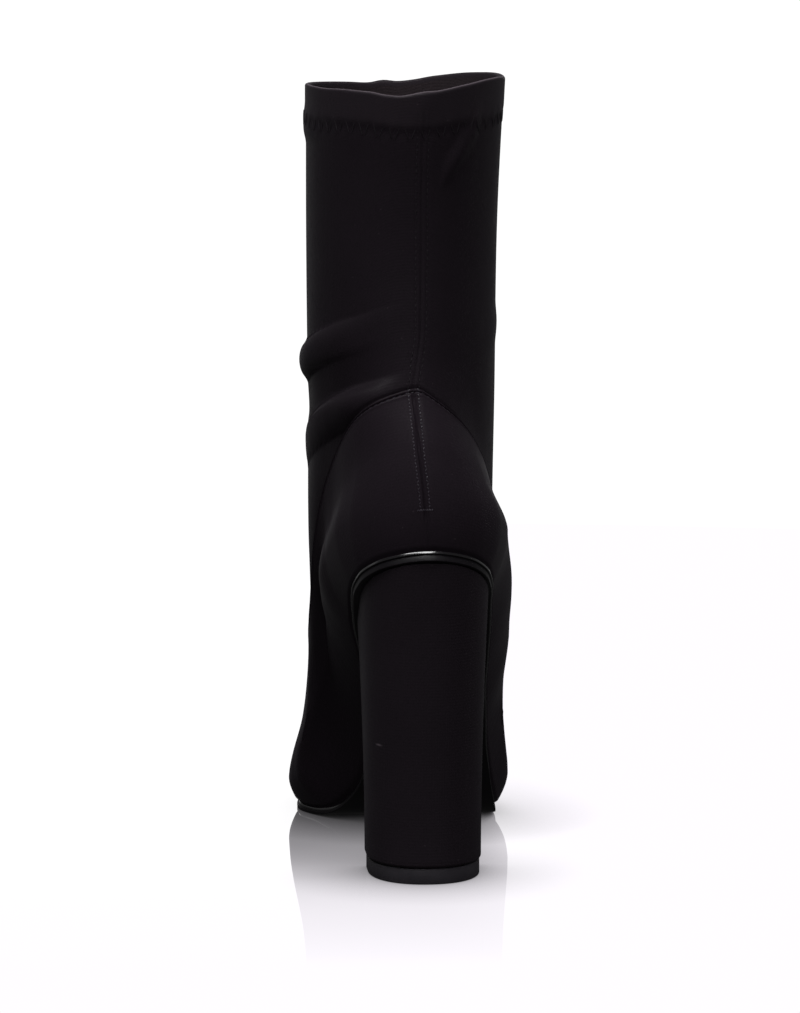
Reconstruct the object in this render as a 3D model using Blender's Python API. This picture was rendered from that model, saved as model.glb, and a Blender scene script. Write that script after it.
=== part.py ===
"""Heeled ankle boot: a stretch sock boot for the right foot on a high covered block heel.

Metres, +Z up. +Y runs from the heel to the toe, +X to the outer (lateral) side of the foot.
The origin is on the floor, at the centre of the heel's top piece.
Lengths in the tables are in millimetres.
"""

import math

import bmesh
import bpy
import numpy as np

MM = 0.001

# Driving sizes, in millimetres
SOCK_WALL = 1.5        # bonded stretch fabric with its lining
PANEL_STEP = 0.8       # how far the lower panel and the hem stand proud of the sock
HEM_HEIGHT = 12.0      # folded hem below the collar's edge
SEAM_HALF = 0.4        # half the height of a step in the wall
RAND_THICK = 1.2       # wrapped cord between upper and outsole
RAND_REACH = 1.6       # how far the cord reaches past the upper's lower edge
OUTSOLE_HEEL = 2.1     # thickness of the outsole at the heel and at the ball
OUTSOLE_BALL = 1.0
OUTSOLE_THINS = (60.0, 110.0)  # where along y it grows thinner
OUTSOLE_REACH = 0.9
OUTSOLE_CHAMFER = 0.3
INSOLE_THICK = 2.0
INSOLE_CHAMFER = 0.6
GAP = 0.3              # between pieces that meet
HEEL_GAP = 0.5         # under the curved seat, where the facets of sole and heel differ
TOP_PIECE_HEIGHT = 5.5
TOP_PIECE_INSET = 0.6  # the top piece is a little smaller than the heel's foot
TOP_PIECE_CHAMFER = 0.5
HEEL_FOOT_ROUND = 1.0  # the cover turns under at the heel's foot

# Resolution of the loft
COLUMNS = 60           # around the foot, an even number
HEEL_COLUMNS = 44
HEEL_LEVELS = 7
RAND_RINGS = 5         # round the cord's half circle
OUTLINE_SAMPLES = 361  # along one side of the outline, before it is grown

# The last's side view: height of the upper's lower edge along the foot
SOLE_PROFILE = [
    # along y, height z
    (-34.0, 124.2),
    (-24.0, 118.9),
    (-14.0, 113.5),
    (-4.0, 108.0),
    (6.0, 102.1),
    (16.0, 95.2),
    (26.0, 87.0),
    (40.0, 73.7),
    (58.0, 55.3),
    (74.0, 38.0),
    (86.0, 23.6),
    (97.0, 11.7),
    (108.0, 4.4),
    (118.0, 2.8),
    (148.0, 2.8),
    (162.0, 4.2),
    (176.0, 6.6),
    (186.0, 9.0),
    (196.0, 11.6),
]

# The last's bottom outline, and the side wall that rises from it.
# Flare is how far the wall leans out, rise how high that widest line lies.
FOOT_STATIONS = [
    # along y, lateral x, medial x, flare lateral, flare medial, rise
    (-24.0, 0.0, 0.0, 2.6, 2.6, 17.0),
    (-16.0, 16.4, -17.2, 3.2, 2.8, 17.5),
    (-6.0, 21.2, -22.4, 4.5, 4.1, 18.5),
    (6.0, 23.0, -24.0, 5.6, 6.1, 20.0),
    (24.0, 24.0, -22.4, 7.0, 9.0, 21.0),
    (40.0, 24.6, -18.8, 8.6, 11.4, 21.5),
    (58.0, 25.2, -15.4, 9.0, 12.6, 22.0),
    (74.0, 27.0, -13.9, 7.0, 13.0, 21.5),
    (88.0, 29.8, -15.0, 5.0, 12.2, 18.6),
    (100.0, 32.6, -20.8, 4.6, 10.0, 14.0),
    (112.0, 34.2, -29.6, 4.6, 6.6, 11.4),
    (126.0, 33.2, -36.4, 4.2, 3.4, 9.4),
    (142.0, 29.0, -35.6, 3.6, 2.6, 8.6),
    (156.0, 22.2, -31.1, 3.0, 2.6, 8.6),
    (168.0, 13.8, -25.0, 2.8, 2.8, 8.8),
    (178.0, 3.8, -17.9, 2.4, 2.4, 9.0),
    (186.0, -8.0, -8.0, 1.4, 1.4, 9.4),
]

# Rings above the side wall, each a tilted loop from the back of the leg to the instep.
# Half widths are measured from the ring's own middle line; dip lowers its two sides.
# Fall is how quickly the ring drops beside its point at the back, as a counter's top line does.
RINGS = {
    # name: back y, back z, front y, front z, widest y, lateral, medial, mid back, mid front,
    #       round back, round front, dip lateral, dip medial, dip at, fall lateral, fall medial
    "panel": (-17.0, 175.0, 127.0, 68.0, 42.0, 32.0, 32.0, -4.4, -5.4,
              2.2, 2.3, 36.0, 30.0, 0.62, 9.0, 3.4),
    "ankle": (-12.5, 208.0, 79.5, 145.0, 31.0, 32.6, 33.6, -5.6, -5.4,
              2.1, 2.1, 10.0, 10.0, 0.60, 0.0, 0.0),
    "shaft": (-13.0, 244.0, 71.0, 224.0, 29.0, 33.4, 34.2, -5.6, -5.6,
              2.1, 2.1, 2.0, 2.0, 0.50, 0.0, 0.0),
    "collar": (-16.0, 276.2, 70.0, 276.4, 27.0, 34.6, 35.0, -4.4, -5.2,
               2.1, 2.1, -3.8, -1.0, 0.50, 0.0, 0.0),
}
POINT_ROUND = 0.06     # how blunt the point at the back is, as a sine
POINT_SPREAD = 0.3     # how soon the fall is complete, as a sine
POINT_FADE = 0.7       # how the fall dies away towards the front

# The vamp ring lies half way between side wall and panel, moved a little at its two ends
VAMP_BACK = (-2.6, -0.5)   # along y, up
VAMP_FRONT = (2.0, -5.6)
VAMP_FULL = (-0.8, -1.4)   # outwards at the lateral and the medial side
VAMP_ENDS = 3              # a higher power keeps the moves closer to the two ends

# Rows of faces between neighbouring rings, from the lower edge to the collar
ROWS_BETWEEN = (3, 4, 4, 6, 4, 5)
# Places in the order of rings: edge, side wall, vamp, then RINGS
LOWER_EDGE, SIDE_WALL, PANEL, COLLAR = 0, 1, 3, 6

# The covered heel: outline of its foot and of its seat under the sole
HEEL_OUTLINES = {
    # name: back y, front y, widest y, half width, round back, round front
    "foot": (-19.6, 18.6, 6.0, 20.4, 2.2, 9.0),
    "seat": (-23.6, 26.0, 7.0, 22.7, 2.3, 9.0),
}
HEEL_WAIST = 0.55      # below 1 draws the heel in quickly under the seat, as the cover pulls

# Colours, from near black cloth to satin rubber
BLACKS = {
    # name: red, green, blue, roughness
    "stretch_cloth": (0.010, 0.009, 0.011, 0.62),
    "heel_cloth": (0.009, 0.008, 0.010, 0.70),
    "wrapped_cord": (0.012, 0.011, 0.013, 0.22),
    "sole_rubber": (0.014, 0.013, 0.015, 0.48),
    "top_piece_rubber": (0.020, 0.019, 0.022, 0.52),
    "insole_cloth": (0.016, 0.015, 0.017, 0.80),
}


def clear_scene():
    """Starts from an empty scene."""
    for thing in list(bpy.data.objects):
        bpy.data.objects.remove(thing, do_unlink=True)


def monotone(rows, column, at):
    """A smooth curve through one column of a table, with no overshoot between its rows."""
    x = np.array([row[0] for row in rows])
    v = np.array([row[column] for row in rows])
    steps = np.diff(x)
    slopes = np.diff(v) / steps
    tangents = np.concatenate([slopes[:1], np.zeros(len(slopes) - 1), slopes[-1:]])
    for i in range(1, len(slopes)):
        before, after = slopes[i - 1], slopes[i]
        if before * after > 0:
            near, far = 2 * steps[i] + steps[i - 1], steps[i] + 2 * steps[i - 1]
            tangents[i] = (near + far) / (near / before + far / after)
    i = np.clip(np.searchsorted(x, at) - 1, 0, len(slopes) - 1)
    u = (at - x[i]) / steps[i]
    low = v[i] * (1 + 2 * u) * (1 - u) ** 2 + tangents[i] * steps[i] * u * (1 - u) ** 2
    high = v[i + 1] * u * u * (3 - 2 * u) - tangents[i + 1] * steps[i] * u * u * (1 - u)
    return low + high


def sole_point(y, depth):
    """A point of the side view, this far below the upper's lower edge, square to the sole."""
    small = 0.05
    z = monotone(SOLE_PROFILE, 1, y)
    slope = (monotone(SOLE_PROFILE, 1, y + small) - monotone(SOLE_PROFILE, 1, y - small)) / (2 * small)
    lean = math.hypot(1.0, slope)
    return y + depth * slope / lean, z - depth / lean


def turns(count):
    """Angles round a ring: 0 at the back, a quarter on the lateral side, a half at the front."""
    return [2 * math.pi * k / count for k in range(count)]


def foot_outline(grow):
    """The last's bottom outline seen from above, one (x, y) for each column, grown sideways.

    The columns of both sides stand at the same places along the foot.
    """
    heel, toe = FOOT_STATIONS[0][0], FOOT_STATIONS[-1][0]
    squares = [(row[0], (row[1] + row[2]) / 2, ((row[1] - row[2]) / 2) ** 2) for row in FOOT_STATIONS]
    angles = np.linspace(0.0, math.pi, OUTLINE_SAMPLES)
    along = heel + (toe - heel) * (1 - np.cos(angles)) / 2
    middle = np.array([monotone(squares, 1, y) for y in along])
    half = np.sqrt([max(0.0, monotone(squares, 2, y)) for y in along])
    stations = heel - grow + (toe - heel + 2 * grow) * (1 - np.cos(turns(COLUMNS))) / 2
    sides = {}
    for side in (1, -1):
        x = middle + side * half
        step_x, step_y = np.gradient(x, angles), np.gradient(along, angles)
        step_x[[0, -1]], step_y[[0, -1]] = (side, -side), 0.0
        length = np.hypot(step_x, step_y)
        grown_x = x + side * grow * step_y / length
        grown_y = along - side * grow * step_x / length
        sides[side] = np.interp(stations, grown_y, grown_x)
    lateral = np.arange(COLUMNS) <= COLUMNS // 2
    return np.column_stack([np.where(lateral, sides[1], sides[-1]), stations])


def edge_ring(grow, depth, thinned=0.0):
    """The outline laid on the sole's side view, grown sideways and set below the upper's edge.

    From the waist to the ball the depth grows less by the amount thinned.
    """
    waist, ball = OUTSOLE_THINS
    ring = []
    for x, y in foot_outline(grow):
        share = min(1.0, max(0.0, (y - waist) / (ball - waist)))
        along, height = sole_point(y, depth - thinned * share * share * (3 - 2 * share))
        ring.append((x, along, height))
    return np.array(ring)


def side_wall_ring():
    """The widest line of the side wall, above the lower edge."""
    ring = []
    outline = zip(turns(COLUMNS), foot_outline(0.0), foot_outline(1.0))
    for angle, (x, y), (x_out, y_out) in outline:
        lateral = (1 + math.sin(angle)) / 2
        flare = lateral * monotone(FOOT_STATIONS, 3, y) + (1 - lateral) * monotone(FOOT_STATIONS, 4, y)
        rise = monotone(FOOT_STATIONS, 5, y)
        height = monotone(SOLE_PROFILE, 1, y) + rise
        ring.append((x + flare * (x_out - x), y + flare * (y_out - y), height))
    return np.array(ring)


def rounded(value, roundness):
    """A sine or cosine bent to a superellipse, with its sign kept."""
    return math.copysign(abs(value) ** (2 / roundness), value)


def tilted_ring(row):
    """A closed loop from the back of the leg to the instep, rounder or squarer at either end."""
    (back_y, back_z, front_y, front_z, widest_y, lateral, medial,
     mid_back, mid_front, round_back, round_front,
     dip_lateral, dip_medial, dip_at, fall_lateral, fall_medial) = row
    ring = []
    for angle in turns(COLUMNS):
        sine, cosine = math.sin(angle), math.cos(angle)
        roundness = round_back if cosine > 0 else round_front
        reach = widest_y - back_y if cosine > 0 else front_y - widest_y
        along = widest_y - reach * rounded(cosine, roundness)
        share = (along - back_y) / (front_y - back_y)
        half, dip, fall = (
            (lateral, dip_lateral, fall_lateral) if sine > 0 else (medial, dip_medial, fall_medial))
        lowered = dip * math.sin(math.pi * share ** (math.log(0.5) / math.log(dip_at)))
        beside = (math.hypot(sine, POINT_ROUND) - POINT_ROUND) / POINT_SPREAD
        lowered += fall * (1 - math.exp(-beside)) * ((1 + cosine) / 2) ** POINT_FADE
        middle = mid_back + share * (mid_front - mid_back)
        height = back_z + share * (front_z - back_z) - lowered
        ring.append((middle + half * rounded(sine, roundness), along, height))
    return np.array(ring)


def vamp_ring(side_wall, panel):
    """The ring over the toes and round the counter."""
    angles = np.array(turns(COLUMNS))
    back = ((1 + np.cos(angles)) / 2) ** VAMP_ENDS
    front = ((1 - np.cos(angles)) / 2) ** VAMP_ENDS
    full = np.where(np.sin(angles) > 0, *VAMP_FULL)
    moved = [full * np.sin(angles)]
    moved += [back * VAMP_BACK[k] + front * VAMP_FRONT[k] for k in range(2)]
    return (side_wall + panel) / 2 + np.column_stack(moved)


def master_rings():
    """All rings of the upper, from its lower edge to the collar."""
    side_wall = side_wall_ring()
    panel, *leg = [tilted_ring(row) for row in RINGS.values()]
    return np.array([edge_ring(0.0, 0.0), side_wall, vamp_ring(side_wall, panel), panel, *leg])


def upper_surface(masters, level):
    """The ring at a level between the master rings, on a smooth curve through them."""
    i = min(int(level), len(masters) - 2)
    u = level - i
    lengths = [np.linalg.norm(b - a, axis=1)[:, None] for a, b in zip(masters, masters[1:])]

    def chord(k):
        return (masters[k + 1] - masters[k]) / lengths[k]

    def tangent(k):
        if k == LOWER_EDGE:
            return 2 * chord(k) - tangent(SIDE_WALL)
        if k == COLLAR:
            return chord(k - 1)
        both = lengths[k - 1] + lengths[k]
        if k == SIDE_WALL:
            return (masters[k + 1] - masters[k - 1]) / both
        return (chord(k - 1) * lengths[k] + chord(k) * lengths[k - 1]) / both

    span = lengths[i]
    return (
        masters[i] * ((1 + 2 * u) * (1 - u) ** 2)
        + masters[i + 1] * (u * u * (3 - 2 * u))
        + span * tangent(i) * (u * (1 - u) ** 2)
        - span * tangent(i + 1) * (u * u * (1 - u))
    )


def outward_normals(masters, level):
    """Unit normals of the upper's surface at a level."""
    small = 0.02
    high = upper_surface(masters, min(level + small, COLLAR))
    low = upper_surface(masters, max(level - small, LOWER_EDGE))
    here = upper_surface(masters, level)
    round_it = np.roll(here, -1, axis=0) - np.roll(here, 1, axis=0)
    normals = np.cross(round_it, high - low)
    return normals / np.linalg.norm(normals, axis=1)[:, None]


def level_share(masters, level, distance):
    """How much of a level's step is this many millimetres, measured at the back of the leg."""
    small = 0.05
    step = upper_surface(masters, level)[0] - upper_surface(masters, level - small)[0]
    return small * distance / np.linalg.norm(step)


def add_object(name, mesh, colour, collection):
    """Puts a mesh in the scene as one named piece with its own material."""
    red, green, blue, roughness = BLACKS[colour]
    material = bpy.data.materials.get(colour) or bpy.data.materials.new(colour)
    material.use_nodes = True
    shader = material.node_tree.nodes["Principled BSDF"]
    shader.inputs["Base Color"].default_value = (red, green, blue, 1.0)
    shader.inputs["Roughness"].default_value = roughness
    shader.inputs["Metallic"].default_value = 0.0
    mesh.materials.append(material)
    mesh.shade_smooth()
    mesh.set_sharp_from_angle(angle=math.radians(35))
    piece = bpy.data.objects.new(name, mesh)
    collection.objects.link(piece)
    return piece


def loft(name, rings, closed_rows):
    """A mesh lofted through closed rings of equal count.

    With closed_rows the last ring joins the first, as in a wall with two faces.
    Otherwise the two end rings are capped by strips between their two sides.
    """
    count = len(rings[0])
    bm = bmesh.new()
    rows = [[bm.verts.new(np.array(point) * MM) for point in ring] for ring in rings]
    pairs = list(zip(rows, rows[1:]))
    if closed_rows:
        pairs.append((rows[-1], rows[0]))
    for low, high in pairs:
        for k in range(count):
            ahead = (k + 1) % count
            bm.faces.new((low[k], low[ahead], high[ahead], high[k]))
    if not closed_rows:
        for row, flip in ((rows[0], True), (rows[-1], False)):
            for k in range(count // 2):
                strip = [row[k], row[k + 1], row[(count - k - 1) % count], row[(count - k) % count]]
                corners = list(dict.fromkeys(strip))
                bm.faces.new(corners[::-1] if flip else corners)
    bmesh.ops.recalc_face_normals(bm, faces=bm.faces)
    mesh = bpy.data.meshes.new(name)
    bm.to_mesh(mesh)
    bm.free()
    return mesh


def make_upper(collection):
    """The sock with its lower panel and hem: one wall, open underneath and at the collar."""
    masters = master_rings()
    hem = COLLAR - level_share(masters, COLLAR, HEM_HEIGHT)
    plain = [
        i + k / count
        for i, count in enumerate(ROWS_BETWEEN)
        for k in range(count)
    ]
    outer = []
    for level in [*plain, COLLAR]:
        proud = PANEL_STEP if level < PANEL or level > hem else 0.0
        outer.append((level, proud))
    outer = [row for row in outer if row[0] != PANEL]
    for level, below, above in ((PANEL, PANEL_STEP, 0.0), (hem, 0.0, PANEL_STEP)):
        half = level_share(masters, level, SEAM_HALF)
        outer += [(level - half, below), (level + half, above)]
    outer.sort()

    rings = []
    for level, proud in outer:
        ring = upper_surface(masters, level)
        if level > LOWER_EDGE:
            ring = ring + proud * outward_normals(masters, level)
        rings.append(ring)
    for level in [COLLAR, *reversed(plain)]:
        if level == LOWER_EDGE:
            rings.append(edge_ring(-SOCK_WALL, 0.0))
        else:
            rings.append(upper_surface(masters, level) - SOCK_WALL * outward_normals(masters, level))
    return add_object("upper", loft("upper", rings, True), "stretch_cloth", collection)


def make_rand(collection):
    """The wrapped cord: a plate with a full round edge, between the upper and the outsole."""
    rings = []
    for step in range(RAND_RINGS):
        turn = math.pi * (step / (RAND_RINGS - 1) - 0.5)
        depth = GAP + RAND_THICK / 2 - RAND_THICK / 2 * math.sin(turn)
        rings.append(edge_ring(RAND_REACH - RAND_THICK / 2 * (1 - math.cos(turn)), depth))
    return add_object("rand", loft("rand", rings, False), "wrapped_cord", collection)


def make_outsole(collection):
    """A full length outsole, thin and flat at the ball, running back under the heel seat."""
    top = 2 * GAP + RAND_THICK
    bottom = top + OUTSOLE_HEEL
    thinned = OUTSOLE_HEEL - OUTSOLE_BALL
    inner = OUTSOLE_REACH - OUTSOLE_CHAMFER
    rings = [
        edge_ring(inner, bottom, thinned),
        edge_ring(OUTSOLE_REACH, bottom - OUTSOLE_CHAMFER, thinned),
        edge_ring(OUTSOLE_REACH, top + OUTSOLE_CHAMFER),
        edge_ring(inner, top),
    ]
    return add_object("outsole", loft("outsole", rings, False), "sole_rubber", collection)


def make_insole(collection):
    """The padded insole inside the upper, on the rand plate."""
    inset = -(SOCK_WALL + 2 * GAP)
    rings = [
        edge_ring(inset, 0.0),
        edge_ring(inset, INSOLE_CHAMFER - INSOLE_THICK),
        edge_ring(inset - INSOLE_CHAMFER, -INSOLE_THICK),
    ]
    return add_object("insole", loft("insole", rings, False), "insole_cloth", collection)


def heel_outline(row):
    """A D seen from above: round at the back, flat at the breast, one (x, y) for each column."""
    back_y, front_y, widest_y, half, round_back, round_front = row
    outline = []
    for angle in turns(HEEL_COLUMNS):
        cosine = math.cos(angle)
        roundness = round_back if cosine > 0 else round_front
        reach = widest_y - back_y if cosine > 0 else front_y - widest_y
        across = half * rounded(math.sin(angle), roundness)
        outline.append((across, widest_y - reach * rounded(cosine, roundness)))
    return np.array(outline)


def shrunk(outline, inset):
    """An outline drawn in towards its middle by about this much."""
    middle = outline.mean(axis=0)
    size = np.abs(outline - middle).max(axis=0)
    return middle + (outline - middle) * (1 - inset / size)


def flat_ring(outline, height):
    return np.column_stack([outline, np.full(len(outline), height)])


def make_heel(collection):
    """The covered block heel, from its foot up to the outsole."""
    foot, seat = (heel_outline(HEEL_OUTLINES[name]) for name in ("foot", "seat"))
    bottom = TOP_PIECE_HEIGHT + GAP
    under_sole = 2 * GAP + RAND_THICK + OUTSOLE_HEEL + HEEL_GAP
    seat_ring = np.array([(x, *sole_point(y, under_sole)) for x, y in seat])
    rings = [flat_ring(shrunk(foot, HEEL_FOOT_ROUND), bottom)]
    for level in range(HEEL_LEVELS):
        share = level / (HEEL_LEVELS - 1)
        spread = share ** (1 / HEEL_WAIST)
        low = flat_ring(foot, bottom + HEEL_FOOT_ROUND)
        ring = low + (seat_ring - low) * np.array([spread, spread, share])
        rings.append(ring)
    return add_object("heel", loft("heel", rings, False), "heel_cloth", collection)


def make_top_piece(collection):
    """The rubber top piece that the heel stands on."""
    outline = shrunk(heel_outline(HEEL_OUTLINES["foot"]), TOP_PIECE_INSET)
    rings = [
        flat_ring(shrunk(outline, TOP_PIECE_CHAMFER), 0.0),
        flat_ring(outline, TOP_PIECE_CHAMFER),
        flat_ring(outline, TOP_PIECE_HEIGHT),
    ]
    return add_object("top_piece", loft("top_piece", rings, False), "top_piece_rubber", collection)


def main():
    clear_scene()
    boot = bpy.data.collections.new("heeled_ankle_boot")
    bpy.context.scene.collection.children.link(boot)
    for make in (make_upper, make_insole, make_rand, make_outsole, make_heel, make_top_piece):
        make(boot)


main()
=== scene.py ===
# %% [markdown]
# # A heeled ankle boot, dressed
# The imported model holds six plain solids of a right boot: upper, insole, rand, outsole, heel and
# top piece. This lesson lays the finished boot over them, piece by piece: a stretch sock with its
# turned hem and lining, a stitched lower panel, a glossy rand, a sole, a covered heel and its
# rubber top piece. Tables are in millimetres, as on a maker's drawing, and meshes in metres.
# +Y runs from heel to toe, +X to the outer (lateral) side, and the floor is at z = 0.

# %% Load the frame
import math

import bpy
import numpy as np
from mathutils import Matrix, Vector


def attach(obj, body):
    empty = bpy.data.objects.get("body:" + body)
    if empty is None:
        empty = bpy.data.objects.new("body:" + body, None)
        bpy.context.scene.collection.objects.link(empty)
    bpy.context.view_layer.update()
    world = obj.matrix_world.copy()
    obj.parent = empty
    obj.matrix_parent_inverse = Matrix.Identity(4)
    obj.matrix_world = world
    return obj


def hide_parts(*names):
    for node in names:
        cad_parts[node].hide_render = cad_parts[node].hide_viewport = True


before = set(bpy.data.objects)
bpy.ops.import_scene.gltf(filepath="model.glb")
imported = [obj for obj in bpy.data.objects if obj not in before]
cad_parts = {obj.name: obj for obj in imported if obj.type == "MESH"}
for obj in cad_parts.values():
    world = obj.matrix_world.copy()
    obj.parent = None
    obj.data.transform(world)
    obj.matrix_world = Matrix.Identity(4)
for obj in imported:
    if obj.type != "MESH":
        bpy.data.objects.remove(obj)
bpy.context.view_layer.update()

MM = 0.001

# %% [markdown]
# ## Camera
# A long lens two metres behind the heel, a little to the inner side and above, gives the flat,
# calm look of a catalogue picture. A constraint could aim it, but a place, a heading and a pitch
# are easier to match to a picture. The focal length is kept in pixels of the 800 x 1013 picture,
# because that is how it was measured, and is turned into a lens length for Blender here.

# %% Camera
PICTURE = (800, 1013)
FOCAL_PIXELS = 5848.0
SENSOR = 36.0                                  # millimetres, along the picture's taller side
CAMERA_PLACE = (-0.15974, -2.02972, 0.41)
CAMERA_HEADING = math.radians(4.255)           # from +Y towards +X
CAMERA_PITCH = math.radians(7.791)             # downwards

lens = bpy.data.cameras.new("camera")
lens.lens = FOCAL_PIXELS * SENSOR / max(PICTURE)
lens.sensor_width = SENSOR
lens.clip_start, lens.clip_end = 0.05, 50.0
camera = bpy.data.objects.new("camera", lens)
camera.location = CAMERA_PLACE
camera.rotation_euler = (math.pi / 2 - CAMERA_PITCH, 0.0, -CAMERA_HEADING)
bpy.context.scene.collection.objects.link(camera)
bpy.context.scene.camera = camera
print(f"lens {lens.lens:.1f} mm at {camera.location[:]}")

# %% [markdown]
# ## Three small helpers for node trees
# Colours are written as the sRGB hex values that a paint program shows, and shaders want linear
# light, so one function converts them. A second one adds a node: its inputs are given by name or
# by number, as a plain value or as another node's socket, and the rest are the node's settings. A
# third starts a material with an empty tree.

# %% Colour and node helpers
def linear(colour):
    """An sRGB hex colour as linear red, green, blue and a full alpha."""
    parts = [int(colour[i:i + 2], 16) / 255 for i in (1, 3, 5)]
    return (*[c / 12.92 if c <= 0.04045 else ((c + 0.055) / 1.055) ** 2.4 for c in parts], 1.0)


def add(tree, kind, inputs=None, **settings):
    """Adds one node to a tree, with its settings, plain input values and incoming links."""
    node = tree.nodes.new(kind)
    for name, value in settings.items():
        setattr(node, name, value)
    for name, value in (inputs or {}).items():
        if isinstance(value, bpy.types.NodeSocket):
            tree.links.new(value, node.inputs[name])
        else:
            node.inputs[name].default_value = value
    return node


def new_material(name):
    """A material with an empty node tree, and that tree."""
    material = bpy.data.materials.new(name)
    material.use_nodes = True
    material.node_tree.nodes.clear()
    return material, material.node_tree


print("cloth black in linear light:", [round(v, 4) for v in linear("#211d21")])

# %% [markdown]
# ## Studio
# Black cloth shows its form only through soft highlights, so one large softbox hangs nearly
# overhead: what leans back towards it, such as the crest of a fold, turns lighter, and upright
# cloth stays black. Spot lamps would leave hard glints, so every light is a wide area. A weak one
# on the left draws the edges there. The one on the right and the two flat fills, by the camera
# and beyond the toe, lift the cloth without a highlight of their own.

# %% Softboxes
SOFTBOXES = [
    # name, place, aim, width, height, watts, seen in gloss
    ("softbox_above", (-0.35, -0.50, 1.65), (0.0, 0.02, 0.15), 1.5, 0.8, 26.0, True),
    ("softbox_right", (1.20, 0.60, 0.40), (0.0, 0.05, 0.10), 0.35, 1.0, 5.0, False),
    ("softbox_left", (-1.20, 0.80, 0.80), (0.0, 0.05, 0.12), 0.35, 1.0, 0.15, True),
    ("fill_front", (-0.10, -2.40, 0.90), (0.0, 0.02, 0.14), 1.2, 1.2, 19.5, False),
    ("fill_toe", (0.25, 2.30, 0.90), (0.0, 0.08, 0.12), 1.2, 1.2, 14.0, False),
]
for name, place, aim, width, height, watts, in_gloss in SOFTBOXES:
    light = bpy.data.lights.new(name, "AREA")
    light.shape, light.size, light.size_y, light.energy = "RECTANGLE", width, height, watts
    lamp = bpy.data.objects.new(name, light)
    lamp.location = place
    lamp.rotation_euler = (Vector(aim) - Vector(place)).to_track_quat("-Z", "Y").to_euler()
    lamp.visible_glossy = in_gloss
    bpy.context.scene.collection.objects.link(lamp)
print("softboxes:", [row[0] for row in SOFTBOXES])

# %% [markdown]
# ## White surround
# A photographer would hang white paper all round. Walls could be modelled for it, but a world
# shader needs no mesh and can tell who looks. The camera sees white, and so do the sharp rays
# from the table's mirror. The boot sees a paler light only straight behind it, where it draws a
# thin bright line along every edge, and a dim room elsewhere, so that blacks stay black.

# %% White surround
EYE_LIGHT = 1.06               # just past white, for the camera and in the table's mirror
BACK_LIGHT = 0.36              # the backdrop beyond the toe, for the boot
BACKDROP = (0.88, 0.96)        # cosines, from +Y, of the angles where it ends and where it is full
WALL_LIGHT = 0.10              # the rest of the horizon, for the boot
SKY_LIGHT = 0.05               # overhead, apart from the softboxes
WALL_TOP = (0.22, 0.45)        # sines of the heights where the wall begins to darken and ends

world = bpy.data.worlds.new("white_surround")
bpy.context.scene.world = world
world.use_nodes = True
tree = world.node_tree
tree.nodes.clear()
direction = add(tree, "ShaderNodeTexCoord").outputs["Generated"]
towards = add(tree, "ShaderNodeSeparateXYZ", {0: direction}).outputs
around = add(tree, "ShaderNodeMapRange", {
    "Value": towards["Z"], "From Min": WALL_TOP[0], "From Max": WALL_TOP[1],
    "To Min": WALL_LIGHT, "To Max": SKY_LIGHT}, interpolation_type="SMOOTHSTEP").outputs[0]
behind = add(tree, "ShaderNodeMapRange", {
    "Value": towards["Y"], "From Min": BACKDROP[0], "From Max": BACKDROP[1]},
    interpolation_type="SMOOTHSTEP").outputs[0]
room = add(tree, "ShaderNodeMix", {"Factor": behind, "A": around, "B": BACK_LIGHT}).outputs[0]
path = add(tree, "ShaderNodeLightPath").outputs
eye = add(tree, "ShaderNodeMath", {
    0: path["Is Camera Ray"], 1: path["Is Singular Ray"]}, operation="MAXIMUM").outputs[0]
strength = add(tree, "ShaderNodeMix", {"Factor": eye, "A": room, "B": EYE_LIGHT}).outputs[0]
surround = add(tree, "ShaderNodeBackground", {"Color": (1.0, 1.0, 1.0, 1.0), "Strength": strength})
add(tree, "ShaderNodeOutputWorld", {"Surface": surround.outputs[0]})

view = bpy.context.scene.view_settings
view.view_transform = "Standard"
view.look = "None"
print("surround", EYE_LIGHT, "to the eye,", WALL_LIGHT, "to the boot")

# %% [markdown]
# ## Polished table
# The table is a white acrylic sheet. A plain white floor would do, but a polished sheet mirrors
# the sole close by, which tells the eye how the boot stands. The mirror fades out towards the
# viewer, so its share follows a curve along y, and the polish wears off to one side. As on a light
# table, the white is the sheet's own glow, shaded where the sole comes close, and the boot gets
# only a little of it, more from far off.

# %% White table
TABLE_RADIUS, TABLE_SIDES = 0.9, 96
TABLE_DROP = 0.0001                       # just under the sole
TABLE_WHITE = (1.02, 0.985, 1.04, 1.0)    # a faint lilac cast
TABLE_DIM = (0.03, 0.12)                  # what the boot gets from the table: near it, and far off
TABLE_FAR = (0.12, 0.30)                  # along y, where it turns from near to far
POLISH_ACROSS = (-0.01, 0.07)             # along x, where the polish begins to wear off and is gone
POLISH_RANGE = (-0.16, 0.13)              # along y, in metres
POLISH = [
    # along y in metres, share of the mirror
    (-0.152, 0.0), (-0.132, 0.04), (-0.093, 0.10), (-0.053, 0.16), (-0.024, 0.25),
    (0.006, 0.46), (0.045, 0.70), (0.088, 0.78), (0.118, 0.84),
]
CONTACT = 0.038                           # how far above the sheet the sole still shades it, metres
GRAZING = 2.8                             # how soon the sheet turns to a mirror at low angles
ACRYLIC_IOR = 1.5

mesh = bpy.data.meshes.new("table")
ring = [
    (TABLE_RADIUS * math.cos(a), TABLE_RADIUS * math.sin(a), -TABLE_DROP)
    for a in np.linspace(0, 2 * math.pi, TABLE_SIDES, endpoint=False)
]
mesh.from_pydata(ring, [], [list(range(TABLE_SIDES))])
table = bpy.data.objects.new("table", mesh)
bpy.context.scene.collection.objects.link(table)

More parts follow.
